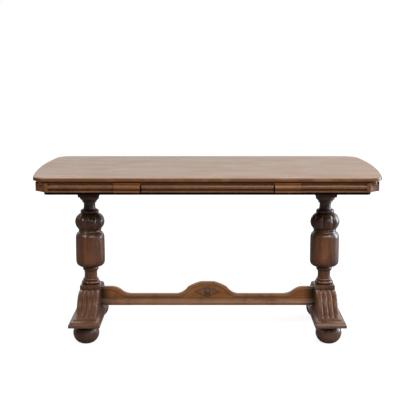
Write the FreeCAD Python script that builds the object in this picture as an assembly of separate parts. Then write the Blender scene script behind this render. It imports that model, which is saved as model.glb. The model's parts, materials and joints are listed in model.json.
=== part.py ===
# Draw-leaf dining table in oak: a loose top over two pull-out leaves, on two
# turned columns that stand on sled feet and are tied by a shaped stretcher.
# Millimetres. +Z is up, X runs along the table and the front faces -Y.
# The origin is on the floor under the centre of the top.
import FreeCAD
import Part
import math
import os

# The table as a whole
TABLE_LENGTH = 1508.0
TABLE_WIDTH = 800.0
TABLE_HEIGHT = 760.0
END_BOW = 31.0              # how far each end bulges over the full width
CORNER_RADIUS = 70.0
RUN_GAP = 0.3               # between pieces that slide past each other
GLUE_GAP = 0.1              # round a peg, tenon or screw in its hole
CUT_OVERRUN = 3.0           # how far a cutter passes the face it cuts

# Loose top and the pegs that guide it
TOP_THICK = 15.0
TOP_UPPER_ROUND = 5.0
TOP_LOWER_ROUND = 2.0
GUIDE_PEG_DIAMETER = 16.0
GUIDE_PEG_SPREAD = 300.0
GUIDE_PEG_SEAT = 9.0
GUIDE_PEG_DROP = 45.0
GUIDE_PEG_PLAY = 0.5

# Draw leaves
CENTRE_LENGTH = 614.0       # fixed centre between the closed leaves, at mid width
LEAF_THICK = 16.5
LEAF_INSET = 20.0
MEET_GAP = 0.5              # between a closed leaf and the fixed centre board

# Frieze moulding round the leaves and the fixed centre, from its cap downwards
LIP_INSET = 10.0
LIP_CORNER_RADIUS = 36.0
LIP_THICK = 22.0
LIP_SHADOW = 7.0            # dark recess between the top and the moulding
LIP_CAP = 4.0
LIP_COVE = 4.0
LIP_BEAD = 21.0
LIP_GROOVE = 3.5
LIP_FOOT = 6.5
LIP_CAP_BACK = 4.0
LIP_BEAD_BACK = 7.0
LIP_BEAD_PROUD = 6.5
LIP_GROOVE_BACK = 8.5
LIP_FOOT_BACK = 2.0
LIP_COVE_SHARES = (0.25, 0.7)
LIP_MEET_GAP = 4.0          # between a closed leaf's joint block and the fixed moulding
JOINT_BLOCK_LENGTH = 108.5
JOINT_BLOCK_PROUD = 6.0
CORNER_BLOCK_LENGTH = 51.0
CORNER_BLOCK_RETURN = 50.0

# Lopers that carry a leaf and slide uphill through the underframe
LOPER_WIDTH = 40.0
LOPER_DEPTH = 22.0
LOPER_TIP_INSET = 49.0
LOPER_TIP_RAISE = 21.6      # underside of the tip above the bottom of the frame
LOPER_STEP = 23.0           # from the keeper rail to the part glued to the leaf
LOPER_TAIL = 31.0           # past the stop pin
LOPER_WIDE_Y = 215.0
LOPER_NARROW_Y = 165.0
STOP_PIN_DIAMETER = 10.0
STOP_PIN_SEAT = 14.0
STOP_PIN_RISE = 10.0

# Underframe
FRAME_SIDE_INSET = 38.0
FRAME_END_INSET = 69.0
FRAME_DEPTH = 42.5
FRAME_LEAF_GAP = 0.7
FRAME_CORNER_RADIUS = 20.0
RAIL_THICK = 24.0
RAIL_HOUSING = 6.0
CROSS_RAIL_WIDTH = 90.0
KEEPER_OUTSET = 38.0        # from the end of the fixed centre to the keeper rail
GLUE_BLOCK_LEG = 55.0
GLUE_BLOCK_SHORT = 4.0
BOARD_THICK = 17.0
BAIZE_WIDTH = 30.0
BAIZE_THICK = 1.2
BAIZE_SUNK = 1.0
BAIZE_END_INSET = 60.0
BAIZE_SIDE_INSET = 45.0

# Sled feet with bun feet
COLUMN_INSET = 217.0
SLED_WIDTH = 137.0
SLED_LENGTH = 604.0
SLED_LEDGE = 13.6
SLED_RISE = 15.4
SLED_STEP = 5.0
SLED_TOP_WIDTH = 93.0
SLED_TOP_LENGTH = 526.0
SLED_HOLLOW_SHARES = (0.3, 0.7)
BUN_DIAMETER = 115.0
BUN_HEIGHT = 88.0
BUN_SOLE = 40.0
BUN_NECK = 84.0
BUN_SPACING = 424.0
BUN_EQUATOR_SHARE = 0.52
BUN_SPIGOT_DIAMETER = 32.0
BUN_SPIGOT_LENGTH = 22.0

# Plinth block and the fluted scrolls in front of it and behind it
PLINTH_WIDTH = 92.0
PLINTH_DEPTH = 94.0
PLINTH_HEIGHT = 99.5
PLINTH_ARRIS = 2.0
SCROLL_WIDTH = 90.0
SCROLL_HEIGHT = 87.0
SCROLL_VALLEY = 72.0        # where its rounded head comes down to the plinth
SCROLL_HEAD = 34.0          # from the plinth to the crown
SCROLL_REACH = 259.0
SCROLL_TOE = 3.0
SCROLL_BEND_SHARES = (0.5, 0.5)
FLUTE_COUNT = 3
FLUTE_PITCH = 22.5
FLUTE_DIAMETER = 7.0

# Turned columns, each station being height, radius and bow of the stretch below it
BULB_RADIUS = 68.5
COLUMN_TENON_DIAMETER = 40.0
COLUMN_FOOT_TENON = 60.0
COLUMN_HEAD_TENON = 35.0
LOBE_COUNT = 8
LOBE_GROOVE_DIAMETER = 16.0
LOBE_GROOVE_OUT = 3.0
COLUMN_STATION_SHARES = (
    (0.0, 0.58, 0.0),
    (0.04, 0.57, 0.05),         # lower bead of the base
    (0.04, 0.5, 0.0),
    (0.066, 0.49, 0.035),       # upper bead of the base
    (0.066, 0.44, 0.0),
    (0.158, 0.45, -0.02),       # lower neck
    (0.158, 0.5, 0.0),
    (0.203, 0.5, 0.035),        # ring under the drum
    (0.203, 0.57, 0.0),
    (0.2594, 0.975, 0.11),      # rounded foot of the drum
    (0.522, 0.975, 0.0),        # drum
    (0.588, 0.86, 0.035),       # its rounded shoulder
    (0.588, 0.8, 0.0),
    (0.6206, 0.755, -0.02),     # cove over the drum
    (0.6206, 0.79, 0.0),
    (0.628, 0.76, 0.0),
    (0.8042, 0.66, 0.28),       # lobed bulb
    (0.8042, 0.526, 0.0),
    (0.814, 0.526, 0.0),
    (0.853, 0.5, 0.08),         # collar
    (0.853, 0.42, 0.0),
    (0.929, 0.4, -0.02),        # upper neck
    (0.929, 0.47, 0.0),
    (0.944, 0.5, 0.01),         # fillet
    (0.983, 0.66, 0.025),       # flare under the head
    (1.0, 0.66, 0.0),
)

# Head block that ties a column to the underframe
YOKE_WIDTH = 91.0
YOKE_LENGTH = 220.0
YOKE_HEIGHT = 60.0
YOKE_SOLE = 108.0
YOKE_TIP = 24.0
YOKE_HOLLOW_SHARES = (0.3, 0.55)

# Stretcher
STRETCHER_THICK = 26.0
STRETCHER_WAIST = 50.0
STRETCHER_EAR = 84.0
STRETCHER_CREST = 107.0
EAR_FLAT = 48.0
EAR_RUN = 94.0
EAR_BEND_SHARES = (0.5, 0.5)
CREST_FLAT = 58.0
CREST_SLOPE = 60.0          # from the flat top out to the cusp
CREST_DROP = 25.0
CREST_FLANK = 50.0          # from the cusp out to the waist
CREST_SLOPE_SHARES = (0.5, 0.4)
CREST_FLANK_SHARES = (0.36, 0.6)
BAND_WIDTH = 12.0
FIELD_SUNK = 2.5
STRIP_HEIGHT = 30.0
STRIP_THICK = 8.0
STRIP_FILLET = 12.0
STRIP_CAP = 2.5
STRIP_STEP = 2.0
STRIP_HOLLOW_SHARES = (0.3, 0.65)
TENON_LENGTH = 22.0
TENON_THICK = 12.0
TENON_FOOT = 14.0
TENON_HEIGHT = 50.0
PEG_DIAMETER = 9.0
PEG_SPACING = 26.0

# Carved lozenge on each side of the crest
LOZENGE_LENGTH = 113.0
LOZENGE_HEIGHT = 48.0
LOZENGE_THICK = 5.0
LOZENGE_CENTRE = 63.0
LOZENGE_FACE_SHARE = 0.74
BOSS_DIAMETER = 18.0
BOSS_RISE = 4.0
BOSS_RING_DIAMETER = 26.0
BOSS_RING_THICK = 3.0

# Wood screws
SCREW_DIAMETER = 5.0
SCREW_HEAD_DIAMETER = 9.0
SCREW_HEAD = 3.0
SCREW_SINK = 2.0
SCREW_BITE = 9.0
YOKE_SCREW_BITE = 22.0
YOKE_SCREW_X = 56.0
YOKE_SCREW_Y = 170.0
BOARD_SCREW_SINK = 16.0
BOARD_SCREW_INSET = 107.0
SLED_SCREW_BITE = 40.0
SLED_SCREW_SPREAD = 54.0
LEAF_SCREW_END_INSET = 40.0

# Levels, from the top downwards
TOP_UNDER = TABLE_HEIGHT - TOP_THICK
LEAF_TOP = TOP_UNDER - RUN_GAP
LEAF_BOTTOM = LEAF_TOP - LEAF_THICK
FRAME_TOP = LEAF_BOTTOM - FRAME_LEAF_GAP
FRAME_BOTTOM = FRAME_TOP - FRAME_DEPTH
BOARD_TOP = FRAME_TOP + BOARD_THICK
LIP_TOP = TOP_UNDER - LIP_SHADOW
LIP_BOTTOM = LIP_TOP - LIP_CAP - LIP_COVE - LIP_BEAD - LIP_GROOVE - LIP_FOOT
YOKE_BOTTOM = FRAME_BOTTOM - YOKE_HEIGHT
SLED_TOP = BUN_HEIGHT + SLED_LEDGE + SLED_RISE
PLINTH_TOP = SLED_TOP + PLINTH_HEIGHT
COLUMN_HEIGHT = YOKE_BOTTOM - PLINTH_TOP

# Places along and across the table
END_RADIUS = ((TABLE_WIDTH / 2) ** 2 + END_BOW ** 2) / (2 * END_BOW)
END_CENTRE = TABLE_LENGTH / 2 - END_RADIUS
LIP_FRONT = TABLE_WIDTH / 2 - LIP_INSET
LIP_BACK = LIP_FRONT - LIP_THICK
LIP_REBATE = LIP_INSET + LIP_THICK - LEAF_INSET
FRAME_X = TABLE_LENGTH / 2 - FRAME_END_INSET
FRAME_Y = TABLE_WIDTH / 2 - FRAME_SIDE_INSET
COLUMN_X = TABLE_LENGTH / 2 - COLUMN_INSET
KEEPER_X = CENTRE_LENGTH / 2 + KEEPER_OUTSET
KEEPER_INNER = KEEPER_X - RAIL_THICK / 2
KEEPER_OUTER = KEEPER_X + RAIL_THICK / 2
STRETCHER_END = COLUMN_X - PLINTH_WIDTH / 2

# Uphill run of the lopers: the leaf climbs by the thickness of the top while it clears its end
LEAF_DRAW = (TABLE_LENGTH - CENTRE_LENGTH) / 2
LEAF_RISE = TOP_THICK + RUN_GAP
LOPER_SLOPE = LEAF_RISE / LEAF_DRAW
LOPER_TIP = TABLE_LENGTH / 2 - LOPER_TIP_INSET
STOP_PIN_X = KEEPER_INNER - STOP_PIN_DIAMETER / 2 - RUN_GAP - LEAF_DRAW
LOPER_END = STOP_PIN_X - LOPER_TAIL
LOPER_GLUED = KEEPER_OUTER + LOPER_STEP
SIDES = (("left", -1), ("right", 1))
FACE_NAMES = {-1: "front", 1: "back"}

parts = {}


def vec(x, y, z):
    return FreeCAD.Vector(x, y, z)


def block(x, y, z):
    # A box from its (low, high) ranges
    corner = vec(x[0], y[0], z[0])
    return Part.makeBox(x[1] - x[0], y[1] - y[0], z[1] - z[0], corner)


def upright(diameter, x, y, low, high):
    return Part.makeCylinder(diameter / 2, high - low, vec(x, y, low))


def section_yz(x):
    return lambda u, z: vec(x, u, z)


def section_xz(y):
    return lambda u, z: vec(u, y, z)


def path_edges(start, steps, place):
    # A step is a point, or a (middle, end) pair for an arc
    edges = []
    here = start
    for step in steps:
        if isinstance(step[0], tuple):
            middle, there = step
            edges.append(Part.Arc(place(*here), place(*middle), place(*there)).toShape())
        else:
            there = step
            edges.append(Part.LineSegment(place(*here), place(*there)).toShape())
        here = there
    return edges


def trace(start, steps, place):
    # Closed wire through the steps and, by a straight line, back to the start
    closing = [] if steps[-1][-1] == start else [start]
    return Part.Wire(path_edges(start, steps + closing, place))


def prism(wire, x=0, y=0, z=0):
    return Part.Face(wire).extrude(vec(x, y, z))


def hollow(start, end, shares):
    # One arc step whose middle lies at the given shares of the way
    middle = tuple(a + share * (b - a) for a, b, share in zip(start, end, shares))
    return (middle, end)


def level_arc(start, end):
    # Middle of the arc that leaves its start level and falls to its end
    run = end[0] - start[0]
    fall = start[1] - end[1]
    radius = (run ** 2 + fall ** 2) / (2 * fall)
    half_turn = math.atan2(fall, abs(run))
    out = math.copysign(radius * math.sin(half_turn), run)
    return (start[0] + out, start[1] - radius * (1 - math.cos(half_turn)))


def cyma(start, end, bend_shares):
    # Two tangent arcs: level and rounded at the start, hollow towards the end
    way = math.copysign(1, end[0] - start[0])
    bend = tuple(a + share * (b - a) for a, b, share in zip(start, end, bend_shares))
    first_middle = level_arc(start, bend)
    turn = 2 * math.atan2(start[1] - bend[1], abs(bend[0] - start[0]))
    chord = math.hypot(end[0] - bend[0], end[1] - bend[1])
    chord_dip = math.atan2(bend[1] - end[1], abs(end[0] - bend[0]))
    second_radius = chord / (2 * math.sin(turn - chord_dip))
    second_middle = (bend[0] + way * second_radius * (math.sin(turn) - math.sin(chord_dip)),
                     bend[1] + second_radius * (math.cos(turn) - math.cos(chord_dip)))
    return [(first_middle, bend), (second_middle, end)]


def climb(steps, start):
    # The arcs of a cyma walked the other way, from its end back to its start
    (first_middle, bend), (second_middle, _) = steps
    return [(second_middle, bend), (first_middle, start)]


def screw(x, y, head_low, tip, clearance=0.0):
    # Upright wood screw driven from below, or with a clearance the hole for it
    head = upright(SCREW_HEAD_DIAMETER + 2 * clearance, x, y, head_low, head_low + SCREW_HEAD + clearance)
    return head.fuse(upright(SCREW_DIAMETER + 2 * clearance, x, y, head_low, tip + clearance))


def screw_hole(x, y, head_low, tip, depth):
    # Hole for a screw with the counterbore that sinks its head
    bore = upright(SCREW_HEAD_DIAMETER + 2 * GLUE_GAP, x, y, head_low - depth - CUT_OVERRUN, head_low)
    return screw(x, y, head_low, tip, GLUE_GAP).fuse(bore)


def end_reach(y, inset):
    # X of the bowed end at a given Y, set in from the edge of the top
    return END_CENTRE + math.sqrt((END_RADIUS - inset) ** 2 - y ** 2)


def outline_slab(inset, corner_round, low, high):
    # Slab with the outline of the top, set in all round
    side = TABLE_WIDTH / 2 - inset
    tip = TABLE_LENGTH / 2 - inset
    corner = end_reach(side, inset)
    steps = [(corner, -side), ((tip, 0), (corner, side)), (-corner, side), ((-tip, 0), (-corner, -side))]
    slab = prism(trace((-corner, -side), steps, lambda x, y: vec(x, y, low)), z=high - low)
    return slab.makeFillet(corner_round, upright_edges(slab)) if corner_round > 0 else slab


def meeting_drum(shrink, low, high):
    # Disc whose rim is the line where the right leaf meets the fixed centre
    return Part.makeCylinder(END_RADIUS - shrink, high - low, vec(END_CENTRE - LEAF_DRAW, 0, low))


def meet_x(y):
    return end_reach(y, 0) - LEAF_DRAW


def turned(shape):
    # The left leaf and its rails are the right ones turned half round
    copy = shape.copy()
    copy.rotate(vec(0, 0, 0), vec(0, 0, 1), 180)
    return copy


def upright_edges(shape):
    return [edge for edge in shape.Edges if abs(edge.Vertexes[0].Z - edge.Vertexes[-1].Z) > RUN_GAP]


def edges_at(shape, z):
    return [edge for edge in shape.Edges if all(abs(v.Z - z) < RUN_GAP / 2 for v in edge.Vertexes)]


def make_top():
    panel = outline_slab(0, CORNER_RADIUS, TOP_UNDER, TABLE_HEIGHT)
    panel = panel.makeFillet(TOP_UPPER_ROUND, edges_at(panel, TABLE_HEIGHT))
    panel = panel.makeFillet(TOP_LOWER_ROUND, edges_at(panel, TOP_UNDER))
    pegs = []
    for _, side in SIDES:
        x = side * GUIDE_PEG_SPREAD / 2
        seat = TOP_UNDER + GUIDE_PEG_SEAT
        pegs.append(upright(GUIDE_PEG_DIAMETER, x, 0, TOP_UNDER - GUIDE_PEG_DROP, seat))
        panel = panel.cut(upright(GUIDE_PEG_DIAMETER + 2 * GLUE_GAP, x, 0, TOP_UNDER - CUT_OVERRUN, seat))
    parts["top_panel"] = panel
    parts["guide_pegs"] = Part.makeCompound(pegs)


def lip_wire(thick, seat, place):
    # Section of the frieze moulding, outwards from its back; seat is the board's underside
    groove = LIP_BOTTOM + LIP_FOOT
    bead = groove + LIP_GROOVE
    cove = bead + LIP_BEAD
    bead_root = thick - LIP_BEAD_BACK
    steps = [
        (thick - LIP_FOOT_BACK, LIP_BOTTOM),
        (thick - LIP_FOOT_BACK, groove),
        (thick - LIP_GROOVE_BACK, groove),
        (thick - LIP_GROOVE_BACK, bead),
        (bead_root, bead),
        ((bead_root + LIP_BEAD_PROUD, bead + LIP_BEAD / 2), (bead_root, cove)),
        hollow((bead_root, cove), (thick - LIP_CAP_BACK, cove + LIP_COVE), LIP_COVE_SHARES),
        (thick - LIP_CAP_BACK, LIP_TOP),
        (LIP_REBATE, LIP_TOP),
        (LIP_REBATE, seat),
        (0, seat),
    ]
    return trace((0, LIP_BOTTOM), steps, place)


def straight_lip(face, x, seat, proud=0.0):
    place = lambda u, z: vec(x[0], face * (LIP_BACK + u), z)
    return prism(lip_wire(LIP_THICK + proud, seat, place), x=x[1] - x[0])


def end_lip():
    # The same moulding swept round the bowed end, between the corner blocks
    back = TABLE_LENGTH / 2 - LIP_INSET - LIP_THICK
    face = Part.Face(lip_wire(LIP_THICK, LEAF_BOTTOM, lambda u, z: vec(back + u, 0, z)))
    pivot = vec(END_CENTRE, 0, 0)
    sweep = math.degrees(math.asin(LIP_FRONT / (END_RADIUS - LIP_INSET)))
    face.rotate(pivot, vec(0, 0, 1), -sweep)
    ring = face.revolve(pivot, vec(0, 0, 1), 2 * sweep)
    half = LIP_FRONT - CORNER_BLOCK_RETURN
    return ring.common(block((0, TABLE_LENGTH), (-half, half), (0, TABLE_HEIGHT)))


def loper_line(x):
    # Underside of a right-hand loper, which rises outwards
    return FRAME_BOTTOM + LOPER_TIP_RAISE + (x - LOPER_TIP) * LOPER_SLOPE


def loper_channel(y, headroom):
    # Clear way for a loper through the right-hand rails
    half = LOPER_WIDTH / 2 + RUN_GAP
    ends = (0, TABLE_LENGTH)
    steps = [(x, loper_line(x) - RUN_GAP) for x in ends]
    steps += [(x, loper_line(x) + headroom) for x in reversed(ends)]
    return prism(trace(steps[0], steps[1:], section_xz(y - half)), y=2 * half)


def make_loper(y):
    # A right-hand loper, its stop pin, its screws and their holes
    steps = [
        (LOPER_TIP, loper_line(LOPER_TIP)),
        (LOPER_TIP, LEAF_BOTTOM),
        (LOPER_GLUED, LEAF_BOTTOM),
        (LOPER_GLUED, loper_line(LOPER_GLUED) + LOPER_DEPTH),
        (LOPER_END, loper_line(LOPER_END) + LOPER_DEPTH),
    ]
    start = (LOPER_END, loper_line(LOPER_END))
    loper = prism(trace(start, steps, section_xz(y - LOPER_WIDTH / 2)), y=LOPER_WIDTH)
    crown = loper_line(STOP_PIN_X) + LOPER_DEPTH
    pin = upright(STOP_PIN_DIAMETER, STOP_PIN_X, y, crown - STOP_PIN_SEAT, crown + STOP_PIN_RISE)
    hole = STOP_PIN_DIAMETER + 2 * GLUE_GAP
    loper = loper.cut(upright(hole, STOP_PIN_X, y, crown - STOP_PIN_SEAT, crown + CUT_OVERRUN))
    screws = []
    holes = []
    for x in (LOPER_GLUED + LEAF_SCREW_END_INSET, LOPER_TIP - LEAF_SCREW_END_INSET):
        head = loper_line(x) + SCREW_SINK
        tip = LEAF_BOTTOM + SCREW_BITE
        screws.append(screw(x, y, head, tip))
        holes.append(screw_hole(x, y, head, tip, SCREW_SINK))
    return loper.cut(Part.makeCompound(holes)), pin, screws, holes


def make_leaf(name, turn):
    # Both leaves are alike: the left one is the right one turned half round
    place = turned if turn < 0 else lambda shape: shape
    reach = (LIP_BOTTOM, TABLE_HEIGHT)
    leaf_round = LIP_CORNER_RADIUS + LIP_INSET - LEAF_INSET
    back_round = LIP_CORNER_RADIUS - LIP_THICK
    panel = outline_slab(LEAF_INSET, leaf_round, LEAF_BOTTOM, LEAF_TOP).cut(meeting_drum(0, *reach))
    corner_x = end_reach(LIP_FRONT, LIP_INSET) - CORNER_BLOCK_LENGTH
    corner_y = LIP_FRONT - CORNER_BLOCK_RETURN
    inner_x = meet_x(LIP_BACK)
    block_x = inner_x + JOINT_BLOCK_LENGTH
    rim = outline_slab(LIP_INSET, LIP_CORNER_RADIUS, LIP_BOTTOM, LIP_TOP)
    rim = rim.cut(outline_slab(LIP_INSET + LIP_THICK, back_round, *reach)).cut(panel)
    groups = {"corner_blocks": [], "joint_blocks": [], "stop_pins": [], "screws": []}
    for way, loper_y in ((-1, -LOPER_WIDE_Y), (1, LOPER_NARROW_Y)):
        face = FACE_NAMES[way * turn]
        beyond = sorted((way * corner_y, way * TABLE_WIDTH))
        groups["corner_blocks"].append(rim.common(block((corner_x, TABLE_LENGTH), beyond, reach)))
        groups["joint_blocks"].append(straight_lip(way, (inner_x, block_x), LEAF_BOTTOM, JOINT_BLOCK_PROUD))
        loper, pin, screws, holes = make_loper(loper_y)
        panel = panel.cut(Part.makeCompound(holes))
        groups["stop_pins"].append(pin)
        groups["screws"] += screws
        parts[f"{name}_{face}_lip"] = place(straight_lip(way, (block_x, corner_x), LEAF_BOTTOM))
        parts[f"{name}_{face}_loper"] = place(loper)
    parts[f"{name}_panel"] = place(panel)
    parts[f"{name}_end_lip"] = place(end_lip())
    for group, solids in groups.items():
        parts[f"{name}_{group}"] = place(Part.makeCompound(solids))


def make_centre():
    # Fixed centre board with its mouldings, and the baize strips that the top rests on
    half = TABLE_WIDTH / 2 - LEAF_INSET
    board = block((-TABLE_LENGTH, TABLE_LENGTH), (-half, half), (FRAME_TOP, BOARD_TOP))
    drum = meeting_drum(MEET_GAP, FRAME_TOP, BOARD_TOP)
    board = board.common(drum).common(turned(drum))
    end = meet_x(half) - MEET_GAP
    strips = []
    for _, side in SIDES:
        hole = GUIDE_PEG_DIAMETER + 2 * GUIDE_PEG_PLAY
        x = side * GUIDE_PEG_SPREAD / 2
        board = board.cut(upright(hole, x, 0, FRAME_TOP - CUT_OVERRUN, BOARD_TOP + CUT_OVERRUN))
        outer = end - BAIZE_END_INSET
        strip_x = sorted((side * outer, side * (outer - BAIZE_WIDTH)))
        strip_y = half - BAIZE_SIDE_INSET
        sunk = BOARD_TOP - BAIZE_SUNK
        strip = block(strip_x, (-strip_y, strip_y), (sunk, sunk + BAIZE_THICK))
        board = board.cut(strip)
        strips.append(strip)
    screws = []
    holes = []
    for way, face in FACE_NAMES.items():
        y = way * (FRAME_Y - RAIL_THICK / 2)
        reach = CENTRE_LENGTH / 2 - BOARD_SCREW_INSET
        for x in (-reach, 0, reach):
            head = FRAME_BOTTOM + BOARD_SCREW_SINK
            tip = FRAME_TOP + SCREW_BITE
            screws.append(screw(x, y, head, tip))
            holes.append(screw_hole(x, y, head, tip, BOARD_SCREW_SINK))
        parts[f"centre_{face}_lip"] = straight_lip(way, (LIP_MEET_GAP - end, end - LIP_MEET_GAP), FRAME_TOP)
    holes = Part.makeCompound(holes)
    parts["centre_board"] = board.cut(holes)
    parts["baize_strips"] = Part.makeCompound(strips)
    parts["centre_board_screws"] = Part.makeCompound(screws)
    return holes


def make_rails(rail_holes):
    # Underframe: long rails with the end, cross and keeper rails housed in them
    level = (FRAME_BOTTOM, FRAME_TOP)
    inner_y = FRAME_Y - RAIL_THICK
    housed_y = inner_y + RAIL_HOUSING
    cross = (COLUMN_X - CROSS_RAIL_WIDTH / 2, COLUMN_X + CROSS_RAIL_WIDTH / 2)
    lopers = (-LOPER_WIDE_Y, LOPER_NARROW_Y)
    open_ways = Part.makeCompound([loper_channel(y, TABLE_HEIGHT) for y in lopers])
    closed_ways = Part.makeCompound([loper_channel(y, LOPER_DEPTH + RUN_GAP) for y in lopers])
    rails = {
        "end_rail": block((FRAME_X - RAIL_THICK, FRAME_X), (-inner_y, inner_y), level).cut(open_ways),
        "cross_rail": block(cross, (-housed_y, housed_y), level).cut(open_ways),
        "keeper_rail": block((KEEPER_INNER, KEEPER_OUTER), (-housed_y, housed_y), level).cut(closed_ways),
    }
    cutters = [rail_holes]
    for key, rail in rails.items():
        parts[f"right_{key}"] = rail
        parts[f"left_{key}"] = turned(rail)
        cutters += [rail, turned(rail)]
    corner_blocks = []
    for way, face in FACE_NAMES.items():
        rail = block((-FRAME_X, FRAME_X), sorted((way * FRAME_Y, way * inner_y)), level)
        outer = [edge for edge in upright_edges(rail) if abs(edge.Vertexes[0].Y - way * FRAME_Y) < RUN_GAP]
        rail = rail.makeFillet(FRAME_CORNER_RADIUS, outer)
        for cutter in cutters:
            rail = rail.cut(cutter)
        parts[f"{face}_rail"] = rail
        for _, side in SIDES:
            x = side * (FRAME_X - RAIL_THICK)
            y = way * inner_y
            low = FRAME_BOTTOM + GLUE_BLOCK_SHORT
            legs = [(x - side * GLUE_BLOCK_LEG, y), (x, y - way * GLUE_BLOCK_LEG)]
            corner = trace((x, y), legs, lambda u, v: vec(u, v, low))
            corner_blocks.append(prism(corner, z=FRAME_TOP - GLUE_BLOCK_SHORT - low))
    parts["rail_corner_blocks"] = Part.makeCompound(corner_blocks)


def column_profile():
    # Turned profile from plinth to head, and the bulb's (centre, radius, low end, high end)
    steps = []
    here = None
    bulb_bow = max(bow for _, _, bow in COLUMN_STATION_SHARES)
    for height, radius, bow in COLUMN_STATION_SHARES:
        there = (radius * BULB_RADIUS, PLINTH_TOP + height * COLUMN_HEIGHT)
        if bow == 0:
            steps.append(there)
        else:
            sag = bow * BULB_RADIUS
            chord = math.hypot(there[0] - here[0], there[1] - here[1])
            out = ((there[1] - here[1]) / chord, (here[0] - there[0]) / chord)
            middle = tuple((a + b) / 2 + sag * o for a, b, o in zip(here, there, out))
            steps.append((middle, there))
            if bow == bulb_bow:
                arc = (chord ** 2 / 4 + sag ** 2) / (2 * sag)
                bulb = (tuple(m - arc * o for m, o in zip(middle, out)), arc, here, there)
        here = there
    return steps, bulb


def make_column(name, x):
    steps, (centre, arc, low, high) = column_profile()
    tenon = COLUMN_TENON_DIAMETER / 2
    foot = PLINTH_TOP - COLUMN_FOOT_TENON
    head = YOKE_BOTTOM + COLUMN_HEAD_TENON
    profile = [(tenon, foot), (tenon, PLINTH_TOP)] + steps
    profile += [(tenon, YOKE_BOTTOM), (tenon, head), (0, head)]
    outline = trace((0, foot), profile, lambda r, z: vec(x + r, 0, z))
    column = Part.Face(outline).revolve(vec(x, 0, 0), vec(0, 0, 1), 360)
    pivot = vec(x + centre[0], 0, centre[1])
    ring = Part.Circle(pivot + vec(arc + LOBE_GROOVE_OUT, 0, 0), vec(0, 0, 1), LOBE_GROOVE_DIAMETER / 2)
    groove = Part.Face(Part.Wire([ring.toShape()]))
    dip = math.degrees(math.atan2(low[1] - centre[1], low[0] - centre[0]))
    lift = math.degrees(math.atan2(high[1] - centre[1], high[0] - centre[0]))
    groove.rotate(pivot, vec(0, -1, 0), dip)
    groove = groove.revolve(pivot, vec(0, -1, 0), lift - dip)
    for lobe in range(LOBE_COUNT):
        cutter = groove.copy()
        cutter.rotate(vec(x, 0, 0), vec(0, 0, 1), 360 * lobe / LOBE_COUNT)
        column = column.cut(cutter)
    parts[f"{name}_column"] = column


def make_yoke(name, x):
    # Head block over a column, and its screws up into the cross rail
    half = YOKE_LENGTH / 2
    sole = YOKE_SOLE / 2
    tip = FRAME_BOTTOM - YOKE_TIP
    middle, end = hollow((sole, YOKE_BOTTOM), (half, tip), YOKE_HOLLOW_SHARES)
    steps = [(sole, YOKE_BOTTOM), (middle, end), (half, FRAME_BOTTOM), (-half, FRAME_BOTTOM), (-half, tip),
             ((-middle[0], middle[1]), (-sole, YOKE_BOTTOM))]
    wire = trace((-sole, YOKE_BOTTOM), steps, section_yz(x - YOKE_WIDTH / 2))
    yoke = prism(wire, x=YOKE_WIDTH)
    bore = COLUMN_TENON_DIAMETER + 2 * GLUE_GAP
    yoke = yoke.cut(upright(bore, x, 0, YOKE_BOTTOM - CUT_OVERRUN, YOKE_BOTTOM + COLUMN_HEAD_TENON))
    screws = []
    holes = []
    for screw_x in (x - YOKE_SCREW_X / 2, x + YOKE_SCREW_X / 2):
        for screw_y in (-YOKE_SCREW_Y / 2, YOKE_SCREW_Y / 2):
            head = tip + SCREW_SINK
            screws.append(screw(screw_x, screw_y, head, FRAME_BOTTOM + YOKE_SCREW_BITE))
            holes.append(screw_hole(screw_x, screw_y, head, FRAME_BOTTOM + YOKE_SCREW_BITE, YOKE_HEIGHT))
    holes = Part.makeCompound(holes)
    parts[f"{name}_yoke"] = yoke.cut(holes)
    parts[f"{name}_cross_rail"] = parts[f"{name}_cross_rail"].cut(holes)
    return screws


def sled_wire(wide, narrow, place):
    # Section of a sled: a square ledge, a step and a hollow up to the narrow top
    ledge = BUN_HEIGHT + SLED_LEDGE
    middle, end = hollow((narrow / 2, SLED_TOP), (wide / 2 - SLED_STEP, ledge), SLED_HOLLOW_SHARES)
    steps = [(wide / 2, BUN_HEIGHT), (wide / 2, ledge), end, (middle, (narrow / 2, SLED_TOP)),
             (-narrow / 2, SLED_TOP), ((-middle[0], middle[1]), (-end[0], ledge)), (-wide / 2, ledge)]
    return trace((-wide / 2, BUN_HEIGHT), steps, place)


def make_sled(name, x):
    # Sled foot with moulded edges all round, its two buns and its screws into the plinth
    across = lambda u, z: vec(x + u, -SLED_LENGTH / 2, z)
    sled = prism(sled_wire(SLED_WIDTH, SLED_TOP_WIDTH, across), y=SLED_LENGTH)
    ends = sled_wire(SLED_LENGTH, SLED_TOP_LENGTH, section_yz(x - SLED_WIDTH / 2))
    sled = sled.common(prism(ends, x=SLED_WIDTH))
    for way, face in FACE_NAMES.items():
        y = way * BUN_SPACING / 2
        parts[f"{name}_{face}_bun"] = bun(x, y)
        hole = BUN_SPIGOT_DIAMETER + 2 * GLUE_GAP
        sled = sled.cut(upright(hole, x, y, BUN_HEIGHT - CUT_OVERRUN, BUN_HEIGHT + BUN_SPIGOT_LENGTH))
    screws = []
    holes = []
    for y in (-SLED_SCREW_SPREAD / 2, SLED_SCREW_SPREAD / 2):
        head = BUN_HEIGHT + SCREW_SINK
        screws.append(screw(x, y, head, SLED_TOP + SLED_SCREW_BITE))
        holes.append(screw_hole(x, y, head, SLED_TOP + SLED_SCREW_BITE, SCREW_SINK))
    holes = Part.makeCompound(holes)
    parts[f"{name}_sled"] = sled.cut(holes)
    return screws, holes


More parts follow.
